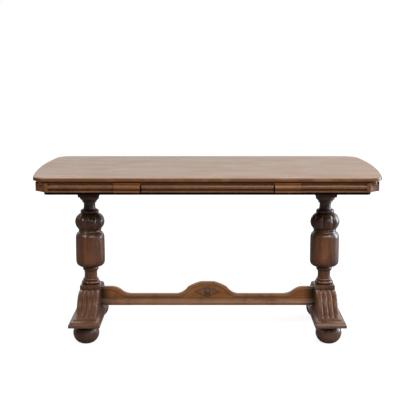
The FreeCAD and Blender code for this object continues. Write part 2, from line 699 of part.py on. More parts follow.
def bun(x, y):
    # Turned bun foot with the spigot that plugs into the sled
    spigot = BUN_SPIGOT_DIAMETER / 2
    top = BUN_HEIGHT + BUN_SPIGOT_LENGTH
    belly = ((BUN_DIAMETER / 2, BUN_EQUATOR_SHARE * BUN_HEIGHT), (BUN_NECK / 2, BUN_HEIGHT))
    steps = [(BUN_SOLE / 2, 0), belly, (spigot, BUN_HEIGHT), (spigot, top), (0, top)]
    outline = trace((0, 0), steps, lambda r, z: vec(x + r, y, z))
    return Part.Face(outline).revolve(vec(x, y, 0), vec(0, 0, 1), 360)


def make_scroll(x, way):
    # Bracket with a rounded head, a hollow toe and flutes down its face
    back = PLINTH_DEPTH / 2
    valley = (back, SLED_TOP + SCROLL_VALLEY)
    crown = (back + SCROLL_HEAD, SLED_TOP + SCROLL_HEIGHT)
    toe = (SCROLL_REACH, SLED_TOP + SCROLL_TOE)
    face = [(level_arc(crown, valley), crown)] + cyma(crown, toe, SCROLL_BEND_SHARES)
    steps = [valley] + face + [(SCROLL_REACH, SLED_TOP)]
    wire = trace((back, SLED_TOP), steps, lambda u, z: vec(x - SCROLL_WIDTH / 2, way * u, z))
    scroll = prism(wire, x=SCROLL_WIDTH)
    for flute in range(FLUTE_COUNT):
        flute_x = x + (flute - (FLUTE_COUNT - 1) / 2) * FLUTE_PITCH
        line = path_edges(valley, face, lambda u, z: vec(flute_x, way * u, z))
        start = line[0].FirstParameter
        ring = Part.Circle(line[0].valueAt(start), line[0].tangentAt(start), FLUTE_DIAMETER / 2)
        scroll = scroll.cut(Part.Wire(line).makePipeShell([Part.Wire([ring.toShape()])], True, False))
    return scroll


def make_plinth(name, x, tenons, peg_holes, screw_holes):
    plinth = block((x - PLINTH_WIDTH / 2, x + PLINTH_WIDTH / 2), (-PLINTH_DEPTH / 2, PLINTH_DEPTH / 2),
                   (SLED_TOP, PLINTH_TOP))
    plinth = plinth.makeChamfer(PLINTH_ARRIS, edges_at(plinth, PLINTH_TOP))
    bore = COLUMN_TENON_DIAMETER + 2 * GLUE_GAP
    plinth = plinth.cut(upright(bore, x, 0, PLINTH_TOP - COLUMN_FOOT_TENON, PLINTH_TOP + CUT_OVERRUN))
    parts[f"{name}_plinth"] = plinth.cut(tenons).cut(peg_holes).cut(screw_holes)


def stretcher_wire(half, place):
    # Outline with raised ears at the ends and a crest in the middle
    waist = SLED_TOP + STRETCHER_WAIST
    ear = (half - EAR_FLAT, SLED_TOP + STRETCHER_EAR)
    ear_foot = (ear[0] - EAR_RUN, waist)
    crest = (CREST_FLAT / 2, SLED_TOP + STRETCHER_CREST)
    cusp = (crest[0] + CREST_SLOPE, crest[1] - CREST_DROP)
    crest_foot = (cusp[0] + CREST_FLANK, waist)
    slope_middle, _ = hollow(crest, cusp, CREST_SLOPE_SHARES)
    flank_middle, _ = hollow(cusp, crest_foot, CREST_FLANK_SHARES)
    mirrored = lambda p: (-p[0], p[1])
    steps = [(half, SLED_TOP), (half, ear[1]), ear]
    steps += cyma(ear, ear_foot, EAR_BEND_SHARES)
    steps += [crest_foot, (flank_middle, cusp), (slope_middle, crest), mirrored(crest)]
    steps += [(mirrored(slope_middle), mirrored(cusp)), (mirrored(flank_middle), mirrored(crest_foot))]
    steps += [mirrored(ear_foot)]
    steps += climb(cyma(mirrored(ear), mirrored(ear_foot), EAR_BEND_SHARES), mirrored(ear))
    steps += [(-half, ear[1])]
    return trace((-half, SLED_TOP), steps, place)


def make_stretcher():
    # Shaped board with a sunk field on both faces, tenoned and pegged into the plinths
    half_thick = STRETCHER_THICK / 2
    board = prism(stretcher_wire(STRETCHER_END, section_xz(-half_thick)), y=STRETCHER_THICK)
    field_low = SLED_TOP + STRIP_HEIGHT
    long_outline = stretcher_wire(STRETCHER_END + BAND_WIDTH, section_xz(0))
    field = Part.Face(long_outline).makeOffset2D(-BAND_WIDTH).extrude(vec(0, STRETCHER_THICK, 0))
    above = (field_low, TABLE_HEIGHT)
    field = field.common(block((-TABLE_LENGTH, TABLE_LENGTH), (0, STRETCHER_THICK), above))
    floor = half_thick - FIELD_SUNK
    tenons = []
    pegs = []
    peg_holes = []
    for way, face in FACE_NAMES.items():
        sunk = field.copy()
        sunk.translate(vec(0, floor if way > 0 else -floor - STRETCHER_THICK, 0))
        board = board.cut(sunk)
        parts[f"stretcher_{face}_strip"] = strip(way)
        parts[f"{face}_lozenge"] = lozenge(way, floor)
    foot = SLED_TOP + TENON_FOOT
    for _, side in SIDES:
        reach = sorted((side * STRETCHER_END, side * (STRETCHER_END + TENON_LENGTH)))
        tenon = block(reach, (-TENON_THICK / 2, TENON_THICK / 2), (foot, foot + TENON_HEIGHT))
        tenons.append(tenon)
        board = board.fuse(tenon)
        for step in (-1, 1):
            base = vec(side * (STRETCHER_END + TENON_LENGTH / 2), -PLINTH_DEPTH / 2,
                       foot + TENON_HEIGHT / 2 + step * PEG_SPACING / 2)
            inward = vec(0, 1, 0)
            pegs.append(Part.makeCylinder(PEG_DIAMETER / 2, PLINTH_DEPTH, base, inward))
            peg_holes.append(Part.makeCylinder(PEG_DIAMETER / 2 + GLUE_GAP, PLINTH_DEPTH, base, inward))
    peg_holes = Part.makeCompound(peg_holes)
    parts["stretcher"] = board.removeSplitter().cut(peg_holes)
    parts["stretcher_pegs"] = Part.makeCompound(pegs)
    return Part.makeCompound(tenons), peg_holes


def strip(way):
    # Base moulding along the foot of the stretcher
    top = SLED_TOP + STRIP_HEIGHT
    fillet = SLED_TOP + STRIP_FILLET
    sweep = hollow((STRIP_CAP, top - STRIP_CAP), (STRIP_THICK - STRIP_STEP, fillet), STRIP_HOLLOW_SHARES)
    steps = [(STRIP_THICK, SLED_TOP), (STRIP_THICK, fillet), sweep[1],
             (sweep[0], (STRIP_CAP, top - STRIP_CAP)), (STRIP_CAP, top), (0, top)]
    place = lambda u, z: vec(-STRETCHER_END, way * (STRETCHER_THICK / 2 + u), z)
    return prism(trace((0, SLED_TOP), steps, place), x=2 * STRETCHER_END)


def lozenge(way, floor):
    # Bevelled lozenge with a ringed boss, standing on the sunk field
    centre = SLED_TOP + LOZENGE_CENTRE
    wires = []
    for share, out in ((1.0, 0), (LOZENGE_FACE_SHARE, LOZENGE_THICK)):
        half_long = share * LOZENGE_LENGTH / 2
        half_high = share * LOZENGE_HEIGHT / 2
        corners = [(half_long, centre), (0, centre + half_high), (-half_long, centre)]
        wires.append(trace((0, centre - half_high), corners, section_xz(way * (floor + out))))
    body = Part.makeLoft(wires, True, True)
    front = vec(0, way * (floor + LOZENGE_THICK), centre)
    outward = vec(0, way, 0)
    ring = Part.makeTorus((BOSS_RING_DIAMETER - BOSS_RING_THICK) / 2, BOSS_RING_THICK / 2, front, outward)
    dome = (BOSS_DIAMETER ** 2 / 4 + BOSS_RISE ** 2) / (2 * BOSS_RISE)
    boss = Part.makeSphere(dome, front - outward * (dome - BOSS_RISE))
    back = Part.makeCylinder(BOSS_DIAMETER / 2, BOSS_RISE + CUT_OVERRUN, front, outward)
    return body.fuse(ring).fuse(boss.common(back))


def make_pedestals():
    tenons, peg_holes = make_stretcher()
    yoke_screws = []
    sled_screws = []
    for name, side in SIDES:
        x = side * COLUMN_X
        screws, holes = make_sled(name, x)
        sled_screws += screws
        for way, face in FACE_NAMES.items():
            parts[f"{name}_{face}_scroll"] = make_scroll(x, way)
        make_plinth(name, x, tenons, peg_holes, holes)
        make_column(name, x)
        yoke_screws += make_yoke(name, x)
    parts["yoke_screws"] = Part.makeCompound(yoke_screws)
    parts["sled_screws"] = Part.makeCompound(sled_screws)


make_top()
make_leaf("left_leaf", -1)
make_leaf("right_leaf", 1)
make_rails(make_centre())
make_pedestals()

os.makedirs("parts", exist_ok=True)
for node, shape in parts.items():
    shape.exportStep(f"parts/{node}.step")
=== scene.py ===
# Oak draw-leaf dining table: finishes, carved details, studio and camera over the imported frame
import json
import math
import bmesh
import bpy
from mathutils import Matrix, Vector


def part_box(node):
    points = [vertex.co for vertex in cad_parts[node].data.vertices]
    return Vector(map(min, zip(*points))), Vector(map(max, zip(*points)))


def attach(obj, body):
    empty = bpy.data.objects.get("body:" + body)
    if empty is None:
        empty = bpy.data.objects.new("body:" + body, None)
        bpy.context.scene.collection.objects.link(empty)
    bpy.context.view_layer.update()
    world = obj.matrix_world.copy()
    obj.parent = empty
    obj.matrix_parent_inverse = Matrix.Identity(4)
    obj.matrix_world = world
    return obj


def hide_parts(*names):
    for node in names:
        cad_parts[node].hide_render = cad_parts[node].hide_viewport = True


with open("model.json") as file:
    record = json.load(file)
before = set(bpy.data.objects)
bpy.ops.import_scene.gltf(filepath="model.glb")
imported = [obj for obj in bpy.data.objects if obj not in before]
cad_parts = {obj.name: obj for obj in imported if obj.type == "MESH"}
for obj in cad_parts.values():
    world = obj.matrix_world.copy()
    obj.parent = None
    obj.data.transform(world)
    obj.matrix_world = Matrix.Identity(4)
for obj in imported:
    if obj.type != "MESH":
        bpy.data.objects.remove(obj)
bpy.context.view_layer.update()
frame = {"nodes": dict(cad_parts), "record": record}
scene = bpy.context.scene
print("frame loaded,", len(frame["nodes"]), "nodes")


# Shader helpers

def newGroup(name, inputs, outputs):
    group = bpy.data.node_groups.new(name, "ShaderNodeTree")
    for way, sockets in (("INPUT", inputs), ("OUTPUT", outputs)):
        for label, kind in sockets:
            group.interface.new_socket(label, in_out=way, socket_type="NodeSocket" + kind)
    return group, group.nodes.new("NodeGroupInput"), group.nodes.new("NodeGroupOutput")


def addNode(tree, kind, **settings):
    node = tree.nodes.new("ShaderNode" + kind)
    for key, value in settings.items():
        setattr(node, key, value)
    return node


def stretched(tree, vector, scale):
    mapping = addNode(tree, "Mapping")
    mapping.inputs["Scale"].default_value = scale
    tree.links.new(vector, mapping.inputs["Vector"])
    return mapping.outputs["Vector"]


def noise(tree, vector, scale, detail, roughness=0.55):
    node = addNode(tree, "TexNoise")
    node.inputs["Scale"].default_value = scale
    node.inputs["Detail"].default_value = detail
    node.inputs["Roughness"].default_value = roughness
    tree.links.new(vector, node.inputs["Vector"])
    return node.outputs["Fac"]


def ramp(tree, value, low, high, lowOut=0.0, highOut=1.0):
    node = addNode(tree, "MapRange", clamp=True)
    for key, number in (("From Min", low), ("From Max", high), ("To Min", lowOut), ("To Max", highOut)):
        node.inputs[key].default_value = number
    tree.links.new(value, node.inputs["Value"])
    return node.outputs["Result"]


def plug(tree, value, socket):
    if isinstance(value, bpy.types.NodeSocket):
        tree.links.new(value, socket)
    else:
        socket.default_value = value


def mixColour(tree, fac, a, b, blend="MIX"):
    node = addNode(tree, "Mix", data_type="RGBA", blend_type=blend)
    for index, value in ((0, fac), (6, a), (7, b)):             # the sockets that serve colours
        plug(tree, value, node.inputs[index])
    return node.outputs[2]


def sums(tree, operation, a, b):
    node = addNode(tree, "Math", operation=operation)
    plug(tree, a, node.inputs[0])
    plug(tree, b, node.inputs[1])
    return node.outputs[0]


# Oak: streaks and open pores that run along X, ray flecks across them

oak = {
    "wander": 0.02, "wanderScale": 3.0,         # how far the grain wanders sideways
    "streak": {"scale": (1.3, 17.0, 17.0), "detail": 5.0, "range": (0.3, 0.72)},    # long tone bands
    "line": {"scale": (4.0, 120.0, 120.0), "detail": 3.0, "range": (0.35, 0.68)},   # fine growth lines
    "pore": {"scale": (26.0, 620.0, 620.0), "detail": 2.0, "range": (0.6, 0.68)},   # a few millimetres long
    "fleck": {"scale": (30.0, 90.0, 150.0), "detail": 2.0, "range": (0.62, 0.7)},   # ray flecks
    "streakShare": 0.62, "lineShare": 0.38, "poreDark": 0.6, "lineRise": 0.4,
}


def grainMask(group, along, part):
    spots = noise(group, stretched(group, along, oak[part]["scale"]), 1.0, oak[part]["detail"])
    return ramp(group, spots, *oak[part]["range"])


def makeOakGroup():
    group, start, end = newGroup(
        "oakFigure", [("Vector", "Vector"), ("Pale", "Color"), ("Dark", "Color"), ("Fleck", "Float")],
        [("Color", "Color"), ("Height", "Float")])
    bent = addNode(group, "VectorMath", operation="MULTIPLY_ADD")
    drift = addNode(group, "TexNoise")
    drift.inputs["Scale"].default_value = oak["wanderScale"]
    group.links.new(start.outputs["Vector"], drift.inputs["Vector"])
    group.links.new(drift.outputs["Color"], bent.inputs[0])
    bent.inputs[1].default_value = (0.0, oak["wander"], oak["wander"])
    group.links.new(start.outputs["Vector"], bent.inputs[2])
    streak, line, fleck, pore = (grainMask(group, bent.outputs["Vector"], part)
                                 for part in ("streak", "line", "fleck", "pore"))
    tone = sums(group, "ADD", sums(group, "MULTIPLY", streak, oak["streakShare"]),
                sums(group, "MULTIPLY", line, oak["lineShare"]))
    colour = mixColour(group, tone, start.outputs["Dark"], start.outputs["Pale"])
    fleck = sums(group, "MULTIPLY", fleck, start.outputs["Fleck"])
    colour = mixColour(group, fleck, colour, start.outputs["Pale"])
    colour = mixColour(group, sums(group, "MULTIPLY", pore, oak["poreDark"]), colour, start.outputs["Dark"])
    height = sums(group, "SUBTRACT", sums(group, "MULTIPLY", line, oak["lineRise"]), pore)
    group.links.new(colour, end.inputs["Color"])
    group.links.new(height, end.inputs["Height"])
    return group


# Old finish: rubbed patches and arrises, dark waxy patches, and painted shade darkening the corners and hollows

polish = {
    "patch": (9.0, 6.0, 0.65),                  # scale, detail and roughness of the noise
    "rubbedRange": (0.52, 0.75), "waxRange": (0.46, 0.3),
    "arrisReach": 0.004, "arrisRange": (0.75, 0.45), "arrisPatches": (0.35, 0.6, 0.3, 1.0),
    # painted shade: occlusion in the crevice range darkens corners and hollows towards the dark colour that the
    # waxy patches share
    "creviceRange": (0.86, 0.4), "waxColour": (0.012, 0.007, 0.005, 1), "samples": 8,
    "smearScale": (6.0, 11.0, 6.0), "smearDetail": 4.0, "smearRange": (0.3, 0.7, -0.07, 0.09), "rubbedRough": 0.2,
}
wearKeys = ("wear", "wax", "sheen", "reach", "corner")          # what a finish sets of it


def makeWearGroup():
    amounts = [(key.capitalize(), "Float") for key in wearKeys]
    group, start, end = newGroup(
        "oldPolish", [("Vector", "Vector"), ("Color", "Color"), ("Rubbed", "Color")] + amounts,
        [("Color", "Color"), ("Roughness", "Float")])
    patch = noise(group, start.outputs["Vector"], *polish["patch"])
    arris = addNode(group, "AmbientOcclusion", samples=polish["samples"], inside=True, only_local=True)
    arris.inputs["Distance"].default_value = polish["arrisReach"]
    edge = sums(group, "MULTIPLY", ramp(group, arris.outputs["AO"], *polish["arrisRange"]),
                ramp(group, patch, *polish["arrisPatches"]))
    # painted shade: where other surfaces lie within the reach, the corners and hollows are darkened
    corner = addNode(group, "AmbientOcclusion", samples=polish["samples"])
    group.links.new(start.outputs["Reach"], corner.inputs["Distance"])
    crevice = ramp(group, corner.outputs["AO"], *polish["creviceRange"])
    rubbed = sums(group, "MAXIMUM", ramp(group, patch, *polish["rubbedRange"]), edge)
    rubbed = sums(group, "MULTIPLY", rubbed, start.outputs["Wear"])
    wax = sums(group, "MULTIPLY", ramp(group, patch, *polish["waxRange"]), start.outputs["Wax"])
    # the waxy patches joined with the painted shade of the corners and hollows
    wax = sums(group, "MAXIMUM", wax, sums(group, "MULTIPLY", crevice, start.outputs["Corner"]))
    colour = mixColour(group, rubbed, start.outputs["Color"], start.outputs["Rubbed"])
    colour = mixColour(group, wax, colour, polish["waxColour"])
    along = stretched(group, start.outputs["Vector"], polish["smearScale"])
    smear = ramp(group, noise(group, along, 1.0, polish["smearDetail"]), *polish["smearRange"])
    rough = sums(group, "ADD", start.outputs["Sheen"], smear)
    rough = sums(group, "ADD", rough, sums(group, "MULTIPLY", rubbed, polish["rubbedRough"]))
    group.links.new(colour, end.inputs["Color"])
    group.links.new(rough, end.inputs["Roughness"])
    return group


oakGroup = makeOakGroup()
wearGroup = makeWearGroup()

# One entry for each finish, colours as linear values
# corner and reach set the painted shade in corners and hollows: how dark, and how far it reaches
finishes = {
    # the top's edge colour multiplies painted shade into its sideways faces
    "top_oak": {"pale": (0.33, 0.165, 0.072), "dark": (0.185, 0.08, 0.028), "rubbed": (0.42, 0.25, 0.13),
                "fleck": 0.35, "wear": 0.35, "wax": 0.12, "sheen": 0.33, "reach": 0.02, "corner": 0.0,
                "coat": 0.28, "coatRough": 0.28, "shine": 0.5, "edge": (0.58, 0.42, 0.25)},
    "leaf_oak": {"pale": (0.31, 0.16, 0.072), "dark": (0.17, 0.075, 0.028), "rubbed": (0.40, 0.23, 0.11),
                 "fleck": 0.35, "wear": 0.2, "wax": 0.15, "sheen": 0.36, "reach": 0.02, "corner": 0.0,
                 "coat": 0.3, "coatRough": 0.28, "shine": 0.5},
    "frieze_oak": {"pale": (0.215, 0.082, 0.03), "dark": (0.1, 0.036, 0.014), "rubbed": (0.36, 0.18, 0.09),
                   "fleck": 0.2, "wear": 0.25, "wax": 0.6, "sheen": 0.46, "reach": 0.02, "corner": 0.85,
                   "coat": 0.15, "shine": 0.25, "tooled": 1.6},
    "corner_oak": {"pale": (0.235, 0.088, 0.03), "dark": (0.11, 0.04, 0.014), "rubbed": (0.36, 0.18, 0.09),
                   "fleck": 0.2, "wear": 0.3, "wax": 0.5, "sheen": 0.5, "reach": 0.02, "corner": 0.85,
                   "coat": 0.0, "shine": 0.15},
    # paler than the frieze: a painted lit copy of it, as the blocks stand forward out of the top's shadow
    "block_oak": {"pale": (0.27, 0.104, 0.032), "dark": (0.145, 0.052, 0.016), "rubbed": (0.46, 0.23, 0.10),
                  "fleck": 0.3, "wear": 0.3, "wax": 0.3, "sheen": 0.36, "reach": 0.02, "corner": 0.6,
                  "coat": 0.15, "shine": 0.3},
    "turned_oak": {"pale": (0.32, 0.115, 0.033), "dark": (0.065, 0.022, 0.009), "rubbed": (0.30, 0.14, 0.06),
                   "fleck": 0.15, "wear": 0.3, "wax": 0.55, "sheen": 0.32, "reach": 0.03, "corner": 0.85,
                   "coat": 0.45, "shine": 0.5},
    "foot_oak": {"pale": (0.195, 0.082, 0.04), "dark": (0.082, 0.033, 0.016), "rubbed": (0.30, 0.16, 0.09),
                 "fleck": 0.15, "wear": 0.35, "wax": 0.6, "sheen": 0.36, "reach": 0.02, "corner": 0.7,
                 "coat": 0.4, "shine": 0.5},
    "stretcher_oak": {"pale": (0.37, 0.146, 0.038), "dark": (0.16, 0.057, 0.016), "rubbed": (0.36, 0.19, 0.09),
                      "fleck": 0.25, "wear": 0.35, "wax": 0.5, "sheen": 0.4, "reach": 0.035, "corner": 0.6,
                      "coat": 0.1, "shine": 0.3},
    "moulding_oak": {"pale": (0.33, 0.155, 0.08), "dark": (0.155, 0.068, 0.034), "rubbed": (0.40, 0.25, 0.15),
                     "fleck": 0.2, "wear": 0.4, "wax": 0.5, "sheen": 0.4, "reach": 0.035, "corner": 0.6,
                     "coat": 0.1, "shine": 0.3},
    "lozenge_oak": {"pale": (0.21, 0.095, 0.048), "dark": (0.095, 0.041, 0.021), "rubbed": (0.36, 0.22, 0.13),
                    "fleck": 0.15, "wear": 0.45, "wax": 0.6, "sheen": 0.4, "reach": 0.01, "corner": 0.85,
                    "coat": 0.1, "shine": 0.3},
    # near black: painted shade of the underframe, which stands in the shadow of the top
    "frame_oak": {"pale": (0.022, 0.012, 0.01), "dark": (0.009, 0.005, 0.004), "rubbed": (0.06, 0.033, 0.02),
                  "fleck": 0.1, "wear": 0.2, "wax": 0.5, "sheen": 0.7, "reach": 0.03, "corner": 0.6,
                  "coat": 0.0, "shine": 0.2},
    "head_oak": {"pale": (0.14, 0.06, 0.03), "dark": (0.055, 0.024, 0.013), "rubbed": (0.16, 0.08, 0.04),
                 "fleck": 0.1, "wear": 0.3, "wax": 0.4, "sheen": 0.5, "reach": 0.02, "corner": 0.6,
                 "coat": 0.0, "shine": 0.25},
    "plain_oak": {"pale": (0.42, 0.27, 0.15), "dark": (0.26, 0.15, 0.075), "rubbed": (0.5, 0.35, 0.2),
                  "fleck": 0.3, "wear": 0.2, "wax": 0.1, "sheen": 0.6, "reach": 0.02, "corner": 0.3,
                  "coat": 0.0, "shine": 0.3},
}
plainCoatRough = 0.13                           # where a finish has none of its own
grainBump = {"strength": 0.25, "distance": 0.0006}
gouge = {"slant": 35, "scale": (230, 60, 90), "detail": 1.0,    # short marks, slanted across the moulding
         "tint": (0.5, 0.72, 0.0, 0.3)}
edgeRange = (0.9, 0.6)                          # of the upward normal, from the flat of the top to its edge, which gets painted shade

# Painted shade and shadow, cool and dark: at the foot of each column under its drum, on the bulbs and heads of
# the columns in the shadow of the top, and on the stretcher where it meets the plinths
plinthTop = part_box("left_plinth")[1][2]
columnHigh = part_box("left_yoke")[0][2] - plinthTop
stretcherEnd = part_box("stretcher_front_strip")[1][0]
# painted shade under the drums: each column is darker and cooler towards its plinth
footDirt = {"axis": "Z", "clean": plinthTop + 0.125, "dirty": plinthTop + 0.095, "tone": (0.62, 0.60, 0.68)}
# painted shadow of the top: the bulb, neck and head of each column are darker and cooler
bulbDirt = {"axis": "Z", "clean": plinthTop + 0.53 * columnHigh, "dirty": plinthTop + 0.6 * columnHigh,
            "tone": (0.64, 0.68, 0.86)}
# painted shadow of the plinths and scrolls on the ends of the stretcher; its bead gets the same, a little lighter
boardDirt = {"axis": "X", "clean": stretcherEnd - 0.05, "dirty": stretcherEnd - 0.008, "tone": (0.16, 0.17, 0.24)}
dirt = {"turned_oak": [footDirt, bulbDirt], "stretcher_oak": [boardDirt],
        "moulding_oak": [dict(boardDirt, tone=(0.22, 0.23, 0.30))]}
grainTurn = {"x": (0, 0, 0), "y": (0, 0, math.radians(-90)), "z": (0, math.radians(90), 0)}


def rgba(colour):
    return (colour[0], colour[1], colour[2], 1.0)


def newMaterial(name):
    material = bpy.data.materials.new(name)
    material.use_nodes = True
    tree = material.node_tree
    return material, tree, tree.nodes["Principled BSDF"], addNode(tree, "TexCoord").outputs["Object"]


def addBump(tree, shader, height, settings):
    bump = addNode(tree, "Bump")
    bump.inputs["Strength"].default_value = settings["strength"]
    bump.inputs["Distance"].default_value = settings["distance"]
    tree.links.new(height, bump.inputs["Height"])
    tree.links.new(bump.outputs["Normal"], shader.inputs["Normal"])


def oakMaterial(finish, grain):
    name = finish + "_" + grain
    if name in bpy.data.materials:
        return bpy.data.materials[name]
    look = finishes[finish]
    material, tree, shader, place = newMaterial(name)
    turn = addNode(tree, "Mapping")
    turn.inputs["Rotation"].default_value = grainTurn[grain]
    tree.links.new(place, turn.inputs["Vector"])
    figure = addNode(tree, "Group", node_tree=oakGroup)
    figure.inputs["Pale"].default_value = rgba(look["pale"])
    figure.inputs["Dark"].default_value = rgba(look["dark"])
    figure.inputs["Fleck"].default_value = look["fleck"]
    tree.links.new(turn.outputs["Vector"], figure.inputs["Vector"])
    # wear and waxy patches, with painted shade in the corners and hollows
    worn = addNode(tree, "Group", node_tree=wearGroup)
    worn.inputs["Rubbed"].default_value = rgba(look["rubbed"])
    for key in wearKeys:
        worn.inputs[key.capitalize()].default_value = look[key]
    tree.links.new(place, worn.inputs["Vector"])
    colour, height = figure.outputs["Color"], figure.outputs["Height"]
    if "tooled" in look:
        slant = addNode(tree, "Mapping")
        slant.inputs["Rotation"].default_value = (0, math.radians(gouge["slant"]), 0)
        slant.inputs["Scale"].default_value = gouge["scale"]
        tree.links.new(turn.outputs["Vector"], slant.inputs["Vector"])
        marks = noise(tree, slant.outputs["Vector"], 1.0, gouge["detail"])
        height = sums(tree, "ADD", height, sums(tree, "MULTIPLY", marks, look["tooled"]))
        colour = mixColour(tree, ramp(tree, marks, *gouge["tint"]), colour, rgba(look["rubbed"]))
    if "edge" in look:                          # painted shade: faces turned sideways, as the edge, are darker than the upward flat
        way = addNode(tree, "SeparateXYZ")
        tree.links.new(addNode(tree, "NewGeometry").outputs["Normal"], way.inputs["Vector"])
        side = ramp(tree, way.outputs["Z"], *edgeRange)
        colour = mixColour(tree, side, colour, rgba(look["edge"]), "MULTIPLY")
        tree.links.new(ramp(tree, side, 0.0, 1.0, look["coat"], 0.0), shader.inputs["Coat Weight"])
    # painted shade: darker and cooler along one axis, from the unshaded to the shaded place
    for patch in dirt.get(finish, ()):
        spot = addNode(tree, "SeparateXYZ")
        tree.links.new(place, spot.inputs["Vector"])
        far = sums(tree, "ABSOLUTE", spot.outputs[patch["axis"]], 0.0)
        grime = ramp(tree, far, patch["clean"], patch["dirty"])
        colour = mixColour(tree, grime, colour, rgba(patch["tone"]), "MULTIPLY")
    tree.links.new(colour, worn.inputs["Color"])
    tree.links.new(worn.outputs["Color"], shader.inputs["Base Color"])
    tree.links.new(worn.outputs["Roughness"], shader.inputs["Roughness"])
    shader.inputs["Coat Weight"].default_value = look["coat"]
    shader.inputs["Coat Roughness"].default_value = look.get("coatRough", plainCoatRough)
    shader.inputs["Specular IOR Level"].default_value = look["shine"]
    addBump(tree, shader, height, grainBump)
    return material


baize = {"fibreScale": (900, 900, 900), "fibreDetail": 3.0, "dark": (0.02, 0.075, 0.03, 1),
         "pale": (0.05, 0.16, 0.07, 1), "wornScale": 25.0, "wornDetail": 4.0, "wornRange": (0.5, 0.8, 0.0, 0.5),
         "worn": (0.13, 0.15, 0.08, 1), "rough": 0.95, "sheen": 0.4,
         "bump": {"strength": 1.0, "distance": 0.0005}}


def baizeMaterial():
    material, tree, shader, place = newMaterial("baize")
    fibre = noise(tree, stretched(tree, place, baize["fibreScale"]), 1.0, baize["fibreDetail"])
    worn = ramp(tree, noise(tree, place, baize["wornScale"], baize["wornDetail"]), *baize["wornRange"])
    green = mixColour(tree, fibre, baize["dark"], baize["pale"])
    tree.links.new(mixColour(tree, worn, green, baize["worn"]), shader.inputs["Base Color"])
    shader.inputs["Roughness"].default_value = baize["rough"]
    shader.inputs["Sheen Weight"].default_value = baize["sheen"]
    addBump(tree, shader, fibre, baize["bump"])
    return material


steel = {"spotScale": 300.0, "spotDetail": 4.0, "dullRange": (0.4, 0.7), "bright": (0.42, 0.41, 0.39, 1),
         "dull": (0.2, 0.15, 0.11, 1), "rough": (0.3, 0.7, 0.3, 0.6)}


def steelMaterial():
    material, tree, shader, place = newMaterial("screwSteel")
    spots = noise(tree, place, steel["spotScale"], steel["spotDetail"])
    tree.links.new(mixColour(tree, ramp(tree, spots, *steel["dullRange"]), steel["bright"], steel["dull"]),
                   shader.inputs["Base Color"])
    tree.links.new(ramp(tree, spots, *steel["rough"]), shader.inputs["Roughness"])
    shader.inputs["Metallic"].default_value = 1.0
    return material


# Grain runs along the longest side of a piece, apart from these
grainOverride = {
    "left_leaf_panel": "x", "right_leaf_panel": "x", "centre_board": "x",
    "left_leaf_corner_blocks": "z", "right_leaf_corner_blocks": "z",
    "left_leaf_joint_blocks": "x", "right_leaf_joint_blocks": "x",
    "left_front_bun": "z", "left_back_bun": "z", "right_front_bun": "z", "right_back_bun": "z",
    "left_plinth": "z", "right_plinth": "z", "rail_corner_blocks": "z", "guide_pegs": "z", "stretcher_pegs": "y",
    "left_leaf_stop_pins": "z", "right_leaf_stop_pins": "z",
}
lookOverride = {"left_yoke": "head_oak", "right_yoke": "head_oak"}    # darker wood under the underframe


def grainOf(node):
    if node in grainOverride:
        return grainOverride[node]
    low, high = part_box(node)
    spans = [high[i] - low[i] for i in range(3)]
    return "xyz"[spans.index(max(spans))]


def paint(piece, material):
    piece.data.materials.clear()
    piece.data.materials.append(material)


otherFinishes = {"baize": baizeMaterial(), "steel": steelMaterial()}
for entry in frame["record"]["subparts"]:
    node, slot = entry["node"], entry["material_slot"]
    piece = frame["nodes"][node]
    look = lookOverride.get(node, slot)
    paint(piece, otherFinishes[slot] if slot in otherFinishes else oakMaterial(look, grainOf(node)))
print("nodes finished")


# Modelling helpers: every piece is drawn in place, with its object left at the origin

seedSize = 0.002                                # of the plane that an edge line starts from
mergeGap = 0.00002                              # points closer than this become one


def startEditing(name):
    if bpy.context.object and bpy.context.object.mode != "OBJECT":
        bpy.ops.object.mode_set(mode="OBJECT")
    bpy.context.active_object.name = name
    bpy.ops.object.transform_apply(location=True, rotation=True, scale=True)
    bpy.ops.object.mode_set(mode="EDIT")


def chain(name, points):
    # An edge line, drawn vertex after vertex
    bpy.ops.object.select_all(action="DESELECT")
    bpy.ops.mesh.primitive_plane_add(size=seedSize, location=points[0])
    startEditing(name)
    bpy.ops.mesh.merge(type="CENTER")
    for here, there in zip(points, points[1:]):
        step = [b - a for a, b in zip(here, there)]
        bpy.ops.mesh.extrude_region_move(TRANSFORM_OT_translate={"value": step})
    return bpy.context.active_object


def pickRim(piece):
    # Selects the open edges
    mesh = bmesh.from_edit_mesh(piece.data)
    for part in (mesh.verts, mesh.edges, mesh.faces):
        for item in part:
            item.select = False
    for edge in mesh.edges:
        if edge.is_boundary:
            edge.select_set(True)
    bmesh.update_edit_mesh(piece.data)


def pickPoints(piece, indices):
    mesh = bmesh.from_edit_mesh(piece.data)
    mesh.verts.ensure_lookup_table()
    bpy.ops.mesh.select_all(action="DESELECT")
    for index in indices:
        mesh.verts[index].select_set(True)
    bmesh.update_edit_mesh(piece.data)


def arcPoints(start, middle, end, count):
    # Points along the arc through three points of a plane, without the start
    ax, ay = start
    bx, by = middle
    cx, cy = end
    d = 2 * (ax * (by - cy) + bx * (cy - ay) + cx * (ay - by))
    ux = ((ax**2 + ay**2) * (by - cy) + (bx**2 + by**2) * (cy - ay) + (cx**2 + cy**2) * (ay - by)) / d
    uy = ((ax**2 + ay**2) * (cx - bx) + (bx**2 + by**2) * (ax - cx) + (cx**2 + cy**2) * (bx - ax)) / d
    radius = math.hypot(ax - ux, ay - uy)
    turns = [math.atan2(y - uy, x - ux) for x, y in (start, middle, end)]
    sweep = (turns[2] - turns[0]) % (2 * math.pi)
    if (turns[1] - turns[0]) % (2 * math.pi) > sweep:
        sweep -= 2 * math.pi
    return [(ux + radius * math.cos(turns[0] + sweep * i / count),
             uy + radius * math.sin(turns[0] + sweep * i / count)) for i in range(1, count + 1)]


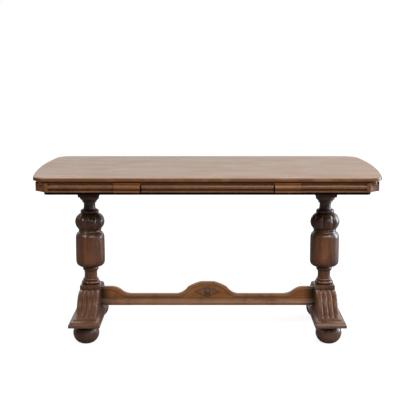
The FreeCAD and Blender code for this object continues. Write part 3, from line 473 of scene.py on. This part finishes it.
def finishPiece(piece, body, slot, grain, smooth, nodes=(), look=None):
    bpy.ops.mesh.select_all(action="SELECT")
    bpy.ops.mesh.remove_doubles(threshold=mergeGap)
    bpy.ops.mesh.normals_make_consistent(inside=False)
    bpy.ops.object.mode_set(mode="OBJECT")
    bpy.ops.object.select_all(action="DESELECT")
    piece.select_set(True)
    bpy.context.view_layer.objects.active = piece
    bpy.ops.object.shade_smooth_by_angle(angle=math.radians(smooth))
    paint(piece, oakMaterial(look or slot, grain))
    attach(piece, body)
    if nodes:
        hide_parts(*nodes)


def copyPiece(piece, name, shift=(0, 0, 0), flip=(1, 1, 1)):
    # A copy that is moved, then mirrored across the middle
    bpy.ops.object.select_all(action="DESELECT")
    piece.select_set(True)
    bpy.context.view_layer.objects.active = piece
    bpy.ops.object.duplicate(linked=False)
    copy = bpy.context.active_object
    copy.name = name
    bpy.ops.object.mode_set(mode="EDIT")
    bpy.ops.mesh.select_all(action="SELECT")
    bpy.ops.transform.translate(value=shift)
    bpy.ops.transform.resize(value=flip, center_override=(0, 0, 0))
    return copy


# Turned pieces: a disc is drawn upwards, ring after ring

def turnPiece(name, centre, rings, segments):
    bpy.ops.object.select_all(action="DESELECT")
    bpy.ops.mesh.primitive_circle_add(vertices=segments, radius=rings[0][0], fill_type="NGON",
                                      location=(centre[0], centre[1], rings[0][1]))
    piece = bpy.context.active_object
    startEditing(name)
    bpy.ops.mesh.select_mode(type="FACE")
    for (r0, z0), (r1, z1) in zip(rings, rings[1:]):
        bpy.ops.mesh.extrude_region_move(TRANSFORM_OT_translate={"value": (0, 0, z1 - z0)})
        bpy.ops.transform.resize(value=(r1 / r0, r1 / r0, 1), center_override=(centre[0], centre[1], z1))
    bpy.ops.mesh.select_mode(type="VERT")
    return piece


# Columns, from the plinth to the head block, with a carved bulb

column = {
    "segments": 96, "smooth": 38, "stepsPerArc": 9, "bulbSteps": 18,
    "lobes": 8, "lobeDepth": 0.125, "grooveSharp": 3.2,
    "lobeSpan": (0.03, 0.94), "lobeFade": 0.5,  # start and length of the part of a sine wave, and its power
    "bulbBow": 0.2,                             # a stretch that bows more than this is the bulb
    "core": 0.04, "slack": 0.0001,              # points of the bulb lie outside the core and within its ends
    "turn": {"left": -6.7, "right": 1.0},       # where a groove faces, in degrees from the front
    "stations": [                               # height share, radius share, bow of the stretch below
        (0.0, 0.575, 0.0), (0.004, 0.58, 0.0), (0.039, 0.565, 0.05), (0.041, 0.495, 0.0), (0.066, 0.485, 0.036),
        (0.069, 0.435, 0.0), (0.11, 0.425, -0.004), (0.155, 0.45, -0.012), (0.158, 0.49, 0.0), (0.2, 0.5, 0.04),
        (0.203, 0.58, 0.0), (0.2594, 0.97, 0.11), (0.4, 0.975, 0.004), (0.522, 0.968, 0.004),
        (0.588, 0.85, 0.04), (0.59, 0.8, 0.0), (0.617, 0.755, -0.02), (0.6206, 0.785, 0.0), (0.629, 0.755, 0.006),
        (0.8042, 0.66, 0.285), (0.8062, 0.55, 0.0), (0.852, 0.5, 0.095), (0.854, 0.42, 0.0),
        (0.926, 0.395, -0.018), (0.929, 0.46, 0.0), (0.944, 0.49, 0.014), (0.948, 0.485, 0.0),
        (0.981, 0.655, 0.03), (1.0, 0.665, 0.0),
    ],
}


def columnRings(foot, head, radius):
    rings = []
    for height, share, bow in column["stations"]:
        there = (share * radius, foot + height * (head - foot))
        if bow == 0.0 or not rings:
            rings.append(there)
            continue
        here = rings[-1]
        long = math.hypot(there[0] - here[0], there[1] - here[1])
        out = ((there[1] - here[1]) / long, (here[0] - there[0]) / long)
        middle = [(a + b) / 2 + bow * radius * o for a, b, o in zip(here, there, out)]
        steps = column["bulbSteps"] if bow > column["bulbBow"] else column["stepsPerArc"]
        rings += arcPoints(here, middle, there, steps)
    return rings


def makeColumn():
    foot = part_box("left_plinth")[1][2]
    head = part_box("left_yoke")[0][2]
    low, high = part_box("left_column")
    centre, radius = (low[0] + high[0]) / 2, (high[0] - low[0]) / 2
    piece = turnPiece("leftTurnedColumn", (centre, 0), columnRings(foot, head, radius), column["segments"])
    carveBulb(piece, centre, foot, head)
    return piece, centre


def carveBulb(piece, centre, foot, head):
    # Each lobe is drawn in towards its two grooves, most at mid height
    bulb = [s for s in column["stations"] if s[2] > column["bulbBow"]][0]
    below = column["stations"][column["stations"].index(bulb) - 1]
    lowZ, highZ = (foot + s[0] * (head - foot) for s in (below, bulb))
    lobe = 2 * math.pi / column["lobes"]
    start = math.radians(column["turn"]["left"] - 90)
    slack = column["slack"]
    levels = {}
    for vert in bmesh.from_edit_mesh(piece.data).verts:
        out = math.hypot(vert.co.x - centre, vert.co.y)
        if lowZ - slack < vert.co.z < highZ + slack and out > column["core"]:
            turn = (math.atan2(vert.co.y, vert.co.x - centre) - start) % lobe / lobe
            levels.setdefault((round(vert.co.z, 5), round(abs(2 * turn - 1), 3)), []).append(vert.index)
    for (z, crest), indices in levels.items():
        share = (z - lowZ) / (highZ - lowZ)
        wave = min(max(share * column["lobeSpan"][1] + column["lobeSpan"][0], 0), 1)
        fade = max(0.0, math.sin(math.pi * wave)) ** column["lobeFade"]
        draw = 1 - column["lobeDepth"] * fade * crest ** column["grooveSharp"]
        pickPoints(piece, indices)
        bpy.ops.transform.resize(value=(draw, draw, 1), center_override=(centre, 0, z))


leftColumn, columnX = makeColumn()
finishPiece(leftColumn, "base", "turned_oak", "z", column["smooth"], ["left_column"])
rightColumn = copyPiece(leftColumn, "rightTurnedColumn", (-2 * columnX, 0, 0))
bpy.ops.transform.rotate(value=math.radians(column["turn"]["right"] - column["turn"]["left"]), orient_axis="Z",
                         center_override=(-columnX, 0, 0))
finishPiece(rightColumn, "base", "turned_oak", "z", column["smooth"], ["right_column"])
print("columns turned")


# Scroll brackets: the side line is drawn, pulled across the sled and reeded

scroll = {"reeds": 4, "stepsPerReed": 12, "reedRise": 0.0038, "reedSides": 3.4, "headSteps": 8, "bodySteps": 14,
          "toeSteps": 34, "head": 0.034, "valley": 0.072, "toe": 0.003, "bend": (0.5, 0.5),
          "tipGap": 0.016, "tipRound": 0.011, "smooth": 50,
          "faceUp": 0.5, "clear": 0.0006,       # where the line faces up, grooves stop this far above the sled
          "nudge": 1e-6}                        # keeps a point on the edge of a reed in that reed


def levelMiddle(start, end):
    # Middle of the arc that leaves its start level
    run, fall = end[0] - start[0], start[1] - end[1]
    radius = (run**2 + fall**2) / (2 * fall)
    half = math.atan2(fall, abs(run))
    return (start[0] + math.copysign(radius * math.sin(half), run), start[1] - radius * (1 - math.cos(half)))


def scrollLine(back, reach, sledTop, crownTop):
    valley = (back, sledTop + scroll["valley"])
    crown = (back + scroll["head"], crownTop)
    toe = (reach, sledTop + scroll["toe"])
    bend = tuple(a + s * (b - a) for a, b, s in zip(crown, toe, scroll["bend"]))
    turn = 2 * math.atan2(crown[1] - bend[1], bend[0] - crown[0])
    chord = math.hypot(toe[0] - bend[0], toe[1] - bend[1])
    dip = math.atan2(bend[1] - toe[1], toe[0] - bend[0])
    radius = chord / (2 * math.sin(turn - dip))
    hollowMiddle = (bend[0] + radius * (math.sin(turn) - math.sin(dip)),
                    bend[1] + radius * (math.cos(turn) - math.cos(dip)))
    line = [valley] + arcPoints(valley, levelMiddle(crown, valley), crown, scroll["headSteps"])
    line += arcPoints(crown, levelMiddle(crown, bend), bend, scroll["bodySteps"])
    return line + arcPoints(bend, hollowMiddle, toe, scroll["toeSteps"])


def reedDepth(side, toToe):
    # How far the face lies under the crest of a reed: side is 1 in a groove, 0 on the crest
    along = min(max((toToe - scroll["tipGap"]) / scroll["tipRound"], 0.0), 1.0)
    wide = math.sqrt(1 - (1 - along)**2)
    return scroll["reedRise"] * (min(1.0, side / wide) if wide > 0 else 1.0) ** scroll["reedSides"]


def makeScroll():
    low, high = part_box("left_front_scroll")
    sledTop = low[2]
    line = scrollLine(-high[1], -low[1], sledTop, high[2])
    piece = chain("leftFrontScroll", [(low[0], -y, z) for y, z in line])
    steps = scroll["reeds"] * scroll["stepsPerReed"]
    across = (high[0] - low[0]) / steps
    bpy.ops.mesh.select_all(action="SELECT")
    for step in range(steps):
        bpy.ops.mesh.extrude_region_move(TRANSFORM_OT_translate={"value": (across, 0, 0)})
    carveReeds(piece, line, low[0], high[0] - low[0], sledTop)
    pickRim(piece)
    bpy.ops.mesh.extrude_region_move(TRANSFORM_OT_translate={"value": (0, 0, 0)})
    bpy.ops.transform.resize(value=(1, 1, 0), center_override=(0, 0, sledTop))
    bpy.ops.mesh.edge_face_add()
    return piece


def carveReeds(piece, line, edge, width, sledTop):
    # Points with the same place on the line and on a reed are pressed in together
    lengths = [math.hypot(b[0] - a[0], b[1] - a[1]) for a, b in zip(line, line[1:])]
    groups = {}
    for vert in bmesh.from_edit_mesh(piece.data).verts:
        nearest = min(range(len(line)), key=lambda i: abs(line[i][0] + vert.co.y) + abs(line[i][1] - vert.co.z))
        turn = (vert.co.x - edge) / width * scroll["reeds"]
        side = round(abs(2 * ((turn + scroll["nudge"]) % 1.0) - 1), 3)
        groups.setdefault((nearest, side), []).append(vert.index)
    for (step, side), indices in groups.items():
        before, after = line[max(step - 1, 0)], line[min(step + 1, len(line) - 1)]
        long = math.hypot(after[0] - before[0], after[1] - before[1])
        out, up = (before[1] - after[1]) / long, (after[0] - before[0]) / long
        depth = reedDepth(side, sum(lengths[step:]))
        if up > scroll["faceUp"]:
            depth = min(depth, max(0.0, (line[step][1] - sledTop - scroll["clear"]) / up))
        pickPoints(piece, indices)
        bpy.ops.transform.translate(value=(0, depth * out, -depth * up))


leftFrontScroll = makeScroll()
finishPiece(leftFrontScroll, "base", "foot_oak", "y", scroll["smooth"], ["left_front_scroll"])
for side, shift in (("left", 0.0), ("right", -2 * columnX)):
    for face, way in (("Front", 1), ("Back", -1)):
        if (side, face) == ("left", "Front"):
            continue
        bracket = copyPiece(leftFrontScroll, side + face + "Scroll", (shift, 0, 0), (1, way, 1))
        finishPiece(bracket, "base", "foot_oak", "y", scroll["smooth"], [side + "_" + face.lower() + "_scroll"])
print("scrolls reeded")


# Sled feet: the ground plan is drawn up through a rounded ledge, a quirk, a round and a hollow

sled = {"profile": [                            # share of the inset, height share
    (0.03, 0.0), (0.0, 0.05), (0.0, 0.42), (0.03, 0.475), (0.09, 0.5), (0.15, 0.5), (0.165, 0.445), (0.21, 0.445),
    (0.225, 0.53), (0.26, 0.6), (0.33, 0.675), (0.43, 0.715), (0.56, 0.74), (0.7, 0.785), (0.83, 0.85),
    (0.93, 0.925), (1.0, 1.0)], "inset": (0.022, 0.039), "smooth": 30}


def makeSled():
    low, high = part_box("left_sled")
    middle = (low[0] + high[0]) / 2
    bpy.ops.object.select_all(action="DESELECT")
    bpy.ops.mesh.primitive_plane_add(size=1, location=(middle, 0, low[2]))
    piece = bpy.context.active_object
    startEditing("leftSledFoot")
    here, floorZ = (1.0, 1.0), low[2]
    for share, rise in sled["profile"]:
        there = tuple(high[i] - low[i] - 2 * share * sled["inset"][i] for i in range(2))
        level = low[2] + rise * (high[2] - low[2])
        if rise > 0:
            bpy.ops.mesh.extrude_region_move(TRANSFORM_OT_translate={"value": (0, 0, level - floorZ)})
        bpy.ops.transform.resize(value=(there[0] / here[0], there[1] / here[1], 1),
                                 center_override=(middle, 0, level))
        here, floorZ = there, level
    return piece


leftSled = makeSled()
finishPiece(leftSled, "base", "foot_oak", "y", sled["smooth"], ["left_sled"])
rightSled = copyPiece(leftSled, "rightSledFoot", (-2 * columnX, 0, 0))
finishPiece(rightSled, "base", "foot_oak", "y", sled["smooth"], ["right_sled"])
print("sleds moulded")


# Bun feet: flat-bellied, with a hollow neck under the sled

bun = {"segments": 64, "smooth": 50, "profile": [   # radius share, height share
    (0.34, 0.0), (0.49, 0.02), (0.66, 0.08), (0.8, 0.17), (0.91, 0.28), (0.975, 0.4), (1.0, 0.52), (0.98, 0.64),
    (0.92, 0.74), (0.82, 0.83), (0.73, 0.88), (0.68, 0.925), (0.68, 0.96), (0.71, 0.99), (0.73, 1.0)]}


def makeBun():
    low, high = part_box("left_front_bun")
    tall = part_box("left_sled")[0][2]
    centre = ((low[0] + high[0]) / 2, (low[1] + high[1]) / 2)
    radius = (high[0] - low[0]) / 2
    rings = [(r * radius, z * tall) for r, z in bun["profile"]]
    return turnPiece("leftFrontBunFoot", centre, rings, bun["segments"]), centre


leftFrontBun, bunPlace = makeBun()
finishPiece(leftFrontBun, "base", "foot_oak", "z", bun["smooth"], ["left_front_bun"])
for side, face, shift in (("left", "Back", (0, -2 * bunPlace[1], 0)), ("right", "Front", (-2 * columnX, 0, 0)),
                          ("right", "Back", (-2 * columnX, -2 * bunPlace[1], 0))):
    foot = copyPiece(leftFrontBun, side + face + "BunFoot", shift)
    finishPiece(foot, "base", "foot_oak", "z", bun["smooth"], [side + "_" + face.lower() + "_bun"])
print("buns turned")


# Corner blocks of the leaves: a deep upright hollow, stopped under a skin round the leaf's corner

cornerBlock = {"front": 0.051, "back": 0.050, "thick": 0.022, "round": 0.036, "flat": 0.013, "quirk": 0.0025,
               "hollowEnd": 0.043, "hollowDepth": 0.0025, "inner": (0.028, 0.027), "capBack": 0.009,
               "capDrop": 0.0004, "steps": 10, "smooth": 30}


def cornerLayer(name, outline, bottom, top):
    # The outline has u along the front towards the end, v from the front backwards
    low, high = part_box("left_leaf_corner_blocks")
    layer = chain(name, [(high[0] - u, low[1] + v, bottom) for u, v in outline + outline[:1]])
    bpy.ops.mesh.select_all(action="SELECT")
    bpy.ops.mesh.remove_doubles(threshold=mergeGap)
    bpy.ops.mesh.edge_face_add()
    bpy.ops.mesh.extrude_region_move(TRANSFORM_OT_translate={"value": (0, 0, top - bottom)})
    bpy.ops.object.mode_set(mode="OBJECT")
    return layer


def makeCornerBlocks():
    low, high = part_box("left_leaf_corner_blocks")
    front, back, quirk = cornerBlock["front"], cornerBlock["back"], cornerBlock["quirk"]
    spread = high[0] - low[0] - front
    slope = spread / back                       # the end runs outwards as it runs back
    lean = math.atan(slope)
    side = cornerBlock["thick"] / math.cos(lean)
    inside = [(front + spread - side, back), cornerBlock["inner"], (0, cornerBlock["thick"])]
    start = (cornerBlock["flat"] + quirk, quirk)
    end = (front + slope * cornerBlock["hollowEnd"] - quirk, cornerBlock["hollowEnd"])
    wide, deep = end[0] - start[0], end[1] - start[1]
    pull = cornerBlock["hollowDepth"] / math.hypot(wide, deep)
    middle = (start[0] + wide / 2 - pull * deep, start[1] + deep / 2 + pull * wide)
    flat = [(0, 0), (cornerBlock["flat"], 0), start]
    rest = [(front + slope * (end[1] + quirk), end[1] + quirk), (front + spread, back)] + inside
    hollow = flat + arcPoints(start, middle, end, cornerBlock["steps"]) + rest
    reach = cornerBlock["round"] * math.tan((math.pi / 2 - lean) / 2)
    radius = cornerBlock["round"] - cornerBlock["capBack"]

    def rim(turn):
        return (front - reach + radius * math.cos(turn), cornerBlock["round"] - radius * math.sin(turn))

    skin = flat + [rim(math.pi / 2)]
    skin += arcPoints(rim(math.pi / 2), rim((math.pi / 2 + lean) / 2), rim(lean), cornerBlock["steps"])
    skin += [(end[0] - cornerBlock["capBack"] + quirk, end[1]), end] + rest
    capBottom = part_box("left_leaf_panel")[0][2] - cornerBlock["capDrop"]
    cap = cornerLayer("cornerCap", skin, capBottom, high[2])
    piece = cornerLayer("leftLeafCorners", hollow, low[2], capBottom + cornerBlock["capDrop"] / 2)
    cap.select_set(True)
    bpy.ops.object.join()
    bpy.ops.object.mode_set(mode="EDIT")
    bpy.ops.mesh.select_all(action="SELECT")
    bpy.ops.mesh.duplicate()
    bpy.ops.transform.resize(value=(1, -1, 1), center_override=(0, 0, 0))
    return piece


leftCorners = makeCornerBlocks()
finishPiece(leftCorners, "left_leaf", "frieze_oak", "z", cornerBlock["smooth"], ["left_leaf_corner_blocks"],
            "corner_oak")
rightCorners = copyPiece(leftCorners, "rightLeafCorners", flip=(-1, 1, 1))
finishPiece(rightCorners, "right_leaf", "frieze_oak", "z", cornerBlock["smooth"], ["right_leaf_corner_blocks"],
            "corner_oak")
print("corner blocks hollowed")


# Bead along the shaped top of the stretcher, on both faces

bead = {"inset": 0.0088, "radius": 0.0022, "proud": 0.0016, "roundSteps": 3, "steps": 9, "smooth": 60,
        "waist": 0.05, "ear": 0.084, "earFlat": 0.048, "earRun": 0.094, "earBend": (0.5, 0.5), "crest": 0.107,
        "crestFlat": 0.029, "cusp": (0.089, 0.082), "foot": 0.139, "slopeShares": (0.5, 0.4),
        "flankShares": (0.36, 0.6)}


def between(start, end, shares):
    return tuple(a + s * (b - a) for a, b, s in zip(start, end, shares))


def stretcherLine(half, base):
    # Right half of the shaped edge, from the middle of the crest to the plinth
    crest = (bead["crestFlat"], base + bead["crest"])
    cusp = (bead["cusp"][0], base + bead["cusp"][1])
    foot = (bead["foot"], base + bead["waist"])
    ear = (half - bead["earFlat"], base + bead["ear"])
    earFoot = (ear[0] - bead["earRun"], base + bead["waist"])
    bend = between(ear, earFoot, bead["earBend"])
    dip = levelMiddle((earFoot[0], -earFoot[1]), (bend[0], -bend[1]))
    line = [(0.0, crest[1]), crest]
    line += arcPoints(crest, between(crest, cusp, bead["slopeShares"]), cusp, bead["steps"])
    line += arcPoints(cusp, between(cusp, foot, bead["flankShares"]), foot, bead["steps"])
    line += [earFoot] + arcPoints(earFoot, (dip[0], -dip[1]), bend, bead["steps"])
    line += arcPoints(bend, levelMiddle(ear, bend), ear, bead["steps"])
    return line + [(half, ear[1])]


def setIn(line, inset):
    # The same line moved down into the board
    moved = []
    for step, here in enumerate(line):
        before, after = line[max(step - 1, 0)], line[min(step + 1, len(line) - 1)]
        run, rise = after[0] - before[0], after[1] - before[1]
        long = math.hypot(run, rise)
        moved.append((here[0] + inset * rise / long, here[1] - inset * run / long))
    return moved


def makeBead():
    low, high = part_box("stretcher")
    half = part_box("stretcher_front_strip")[1][0]
    right = setIn(stretcherLine(half, low[2]), bead["inset"])
    right[0] = (0.0, right[0][1])
    right[-1] = (half, right[-1][1])
    line = [(-x, z) for x, z in reversed(right[1:])] + right
    depth = low[1] + bead["radius"] - bead["proud"]
    piece = chain("frontStretcherBead", [(x, depth, z) for x, z in line])
    bpy.ops.object.mode_set(mode="OBJECT")
    bpy.ops.object.convert(target="CURVE")
    piece.data.bevel_depth = bead["radius"]
    piece.data.bevel_resolution = bead["roundSteps"]
    piece.data.use_fill_caps = True
    bpy.ops.object.convert(target="MESH")
    bpy.ops.object.mode_set(mode="EDIT")
    return bpy.context.active_object


frontBead = makeBead()
finishPiece(frontBead, "base", "moulding_oak", "x", bead["smooth"])
backBead = copyPiece(frontBead, "backStretcherBead", flip=(1, -1, 1))
finishPiece(backBead, "base", "moulding_oak", "x", bead["smooth"])
print("stretcher beaded")


# Lozenges: raised border round a sunk panel, ringed boss, a leaf on each side

lozenge = {
    "border": [(1.0, 0.16), (0.965, 0.4), (0.92, 0.5), (0.87, 0.49), (0.825, 0.36), (0.79, 0.22), (0.77, 0.2)],
    "boss": [(0.26, 0.18), (0.262, 0.34), (0.25, 0.46), (0.225, 0.48), (0.205, 0.38), (0.196, 0.28),
             (0.185, 0.42), (0.165, 0.66), (0.125, 0.86), (0.07, 0.97), (0.02, 1.0)],
    "leaf": [(1.0, 0.2), (0.93, 0.36), (0.6, 0.46), (0.12, 0.52)], "leafPlace": 0.52, "leafSize": (0.135, 0.2),
    "stretch": 1.07, "corners": 4, "segments": 40, "smooth": 30,
}


def raisePanel(name, sides, centre, size, rings, back, deep):
    # A flat outline on the face is drawn outwards, ring after ring
    share, out = rings[0]
    middle = (centre[0], back, centre[1])
    bpy.ops.object.select_all(action="DESELECT")
    bpy.ops.mesh.primitive_circle_add(vertices=sides, radius=1.0, fill_type="NGON", location=middle,
                                      rotation=(math.radians(90), 0, 0))
    piece = bpy.context.active_object
    startEditing(name)
    bpy.ops.transform.resize(value=(size[0] * share, 1, size[1] * share), center_override=middle)
    bpy.ops.mesh.select_mode(type="FACE")
    bpy.ops.mesh.extrude_region_move(TRANSFORM_OT_translate={"value": (0, -out * deep, 0)})
    for (s0, o0), (s1, o1) in zip(rings, rings[1:]):
        bpy.ops.mesh.extrude_region_move(TRANSFORM_OT_translate={"value": (0, -(o1 - o0) * deep, 0)})
        bpy.ops.transform.resize(value=(s1 / s0, 1, s1 / s0), center_override=middle)
    bpy.ops.mesh.select_mode(type="VERT")
    bpy.ops.object.mode_set(mode="OBJECT")
    return piece


def makeLozenge():
    low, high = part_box("front_lozenge")
    half, tall = lozenge["stretch"] * (high[0] - low[0]) / 2, (high[2] - low[2]) / 2
    level, back, deep = (low[2] + high[2]) / 2, high[1], high[1] - low[1]
    corners, segments = lozenge["corners"], lozenge["segments"]
    parts = [raisePanel("frontCarvedLozenge", corners, (0, level), (half, tall), lozenge["border"], back, deep),
             raisePanel("lozengeBoss", segments, (0, level), (half, half), lozenge["boss"], back, deep)]
    for way in (-1, 1):
        place = (way * lozenge["leafPlace"] * half, level)
        size = (way * lozenge["leafSize"][0] * half, lozenge["leafSize"][1] * tall)
        parts.append(raisePanel("lozengeLeaf", corners, place, size, lozenge["leaf"], back, deep))
    bpy.ops.object.select_all(action="DESELECT")
    for part in parts:
        part.select_set(True)
    bpy.context.view_layer.objects.active = parts[0]
    bpy.ops.object.join()
    bpy.ops.object.mode_set(mode="EDIT")
    return parts[0]


frontLozenge = makeLozenge()
finishPiece(frontLozenge, "base", "moulding_oak", "x", lozenge["smooth"], ["front_lozenge"], "lozenge_oak")
backLozenge = copyPiece(frontLozenge, "backCarvedLozenge", flip=(1, -1, 1))
finishPiece(backLozenge, "base", "moulding_oak", "x", lozenge["smooth"], ["back_lozenge"], "lozenge_oak")
print("lozenges carved")


# Studio: pale floor, high soft key from the front right, a small lamp off each front corner, cool window light
# from the right, brighter room behind

studio = {
    "floorHalf": 6.0,
    "floorColour": (0.18, 0.18, 0.18, 1), "floorRough": 0.9,    # what the table gets back from the floor
    "paperGlow": 0.88, "paperShade": 0.28,      # what the camera sees of it: white, with a soft shadow
    "paperReach": 2.4, "paperFade": 0.5,        # full white this far out, and the share of the way it takes
    "white": (1, 1, 1, 1),
    "room": 0.12, "ceiling": 0.30, "behind": 1.0, "beside": 1.1,    # brightness by direction
    "ceilingZ": (0.25, 0.9), "behindY": (0.25, 0.95), "behindZ": (0.03, 0.16),
    "besideX": (0.35, 0.75), "besideLow": (-0.02, 0.1), "besideHigh": (0.65, 0.45),
    "warm": (1.0, 0.955, 0.90, 1), "cool": (0.70, 0.83, 1.0, 1),
    "key": {"place": (1.0, -2.9, 2.95), "aim": (0.0, 0.0, 0.35), "size": (2.6, 1.9), "power": 100,
            "colour": (1.0, 0.96, 0.90)},
    "leftSide": {"place": (-1.9, -1.5, 1.75), "aim": (-0.4, 0.0, 0.3), "size": (0.4, 0.5), "power": 14,
                 "colour": (1.0, 0.95, 0.88)},
    "rightSide": {"place": (1.9, -1.5, 1.75), "aim": (0.4, 0.0, 0.3), "size": (0.4, 0.5), "power": 10,
                  "colour": (1.0, 0.95, 0.88)},
    "window": {"place": (2.5, 0.6, 1.0), "aim": (0.0, 0.0, 0.35), "size": (0.9, 1.7), "power": 50,
               "colour": (0.68, 0.83, 1.0)},
}


def cameraSees(tree, lit, shown):
    # The camera sees the second shader, all other rays the first
    rays = addNode(tree, "LightPath")
    choice = addNode(tree, "MixShader")
    tree.links.new(rays.outputs["Is Camera Ray"], choice.inputs["Fac"])
    tree.links.new(lit, choice.inputs[1])
    tree.links.new(shown, choice.inputs[2])
    return choice.outputs["Shader"]


def makeWorld():
    world = bpy.data.worlds.new("studioWorld")
    scene.world = world
    world.use_nodes = True
    tree = world.node_tree
    way = addNode(tree, "SeparateXYZ")
    tree.links.new(addNode(tree, "TexCoord").outputs["Generated"], way.inputs["Vector"])
    x, y, z = (way.outputs[axis] for axis in "XYZ")
    above = ramp(tree, z, *studio["ceilingZ"])
    behind = sums(tree, "MULTIPLY", ramp(tree, y, *studio["behindY"]), ramp(tree, z, *studio["behindZ"]))
    beside = sums(tree, "MULTIPLY", ramp(tree, x, *studio["besideX"]), ramp(tree, z, *studio["besideLow"]))
    beside = sums(tree, "MULTIPLY", beside, ramp(tree, z, *studio["besideHigh"]))
    level = sums(tree, "MULTIPLY_ADD", behind, studio["behind"])
    level.node.inputs[2].default_value = studio["room"]
    level = sums(tree, "ADD", level, sums(tree, "ADD", sums(tree, "MULTIPLY", above, studio["ceiling"]),
                                          sums(tree, "MULTIPLY", beside, studio["beside"])))
    soft = tree.nodes["Background"]
    sunny = sums(tree, "MAXIMUM", behind, above)
    tree.links.new(mixColour(tree, sunny, studio["cool"], studio["warm"]), soft.inputs["Color"])
    tree.links.new(level, soft.inputs["Strength"])
    white = addNode(tree, "Background")
    white.inputs["Color"].default_value = studio["white"]
    white.inputs["Strength"].default_value = 1.0
    shown = cameraSees(tree, soft.outputs["Background"], white.outputs["Background"])
    tree.links.new(shown, tree.nodes["World Output"].inputs["Surface"])


def makeFloor():
    bpy.ops.object.select_all(action="DESELECT")
    bpy.ops.mesh.primitive_plane_add(size=2 * studio["floorHalf"], location=(0, 0, 0))
    floor = bpy.context.active_object
    floor.name = "studioFloor"
    material, tree, shader, place = newMaterial("studioPaper")
    shader.inputs["Base Color"].default_value = studio["floorColour"]
    shader.inputs["Roughness"].default_value = studio["floorRough"]
    glow = addNode(tree, "Emission")
    glow.inputs["Color"].default_value = studio["white"]
    far = addNode(tree, "TexGradient", gradient_type="SPHERICAL")
    tree.links.new(stretched(tree, place, (1 / studio["paperReach"],) * 3), far.inputs["Vector"])
    bright = ramp(tree, far.outputs["Fac"], 0.0, studio["paperFade"], 1.0, studio["paperGlow"])
    tree.links.new(bright, glow.inputs["Strength"])
    shade = addNode(tree, "BsdfDiffuse")
    shade.inputs["Color"].default_value = (studio["paperShade"],) * 3 + (1,)
    paper = addNode(tree, "AddShader")
    tree.links.new(glow.outputs["Emission"], paper.inputs[0])
    tree.links.new(shade.outputs["BSDF"], paper.inputs[1])
    shown = cameraSees(tree, shader.outputs["BSDF"], paper.outputs["Shader"])
    tree.links.new(shown, tree.nodes["Material Output"].inputs["Surface"])
    paint(floor, material)


def makeLamp(name, spec):
    data = bpy.data.lights.new(name, "AREA")
    data.shape = "RECTANGLE"
    data.size, data.size_y = spec["size"]
    data.energy = spec["power"]
    data.color = spec["colour"]
    lamp = bpy.data.objects.new(name, data)
    scene.collection.objects.link(lamp)
    lamp.location = spec["place"]
    aim = [a - p for a, p in zip(spec["aim"], spec["place"])]
    lamp.rotation_euler = (math.atan2(math.hypot(aim[0], aim[1]), -aim[2]), 0, math.atan2(-aim[0], aim[1]))


camera = {"place": (0.0, -4.468, 1.323), "down": 9.59, "sensor": 36.0, "focalPixels": 994.0, "imagePixels": 416.0,
          "shift": 0.0014}


def makeCamera():
    data = bpy.data.cameras.new("photoCamera")
    data.sensor_width = camera["sensor"]
    data.lens = data.sensor_width * camera["focalPixels"] / camera["imagePixels"]
    data.shift_x = camera["shift"]
    seat = bpy.data.objects.new("photoCamera", data)
    scene.collection.objects.link(seat)
    seat.location = camera["place"]
    seat.rotation_euler = (math.radians(90 - camera["down"]), 0, 0)
    scene.camera = seat


makeWorld()
makeFloor()
for name in ("key", "leftSide", "rightSide", "window"):
    makeLamp(name + "Lamp", studio[name])
makeCamera()
scene.view_settings.view_transform = "Standard"
print("studio set")
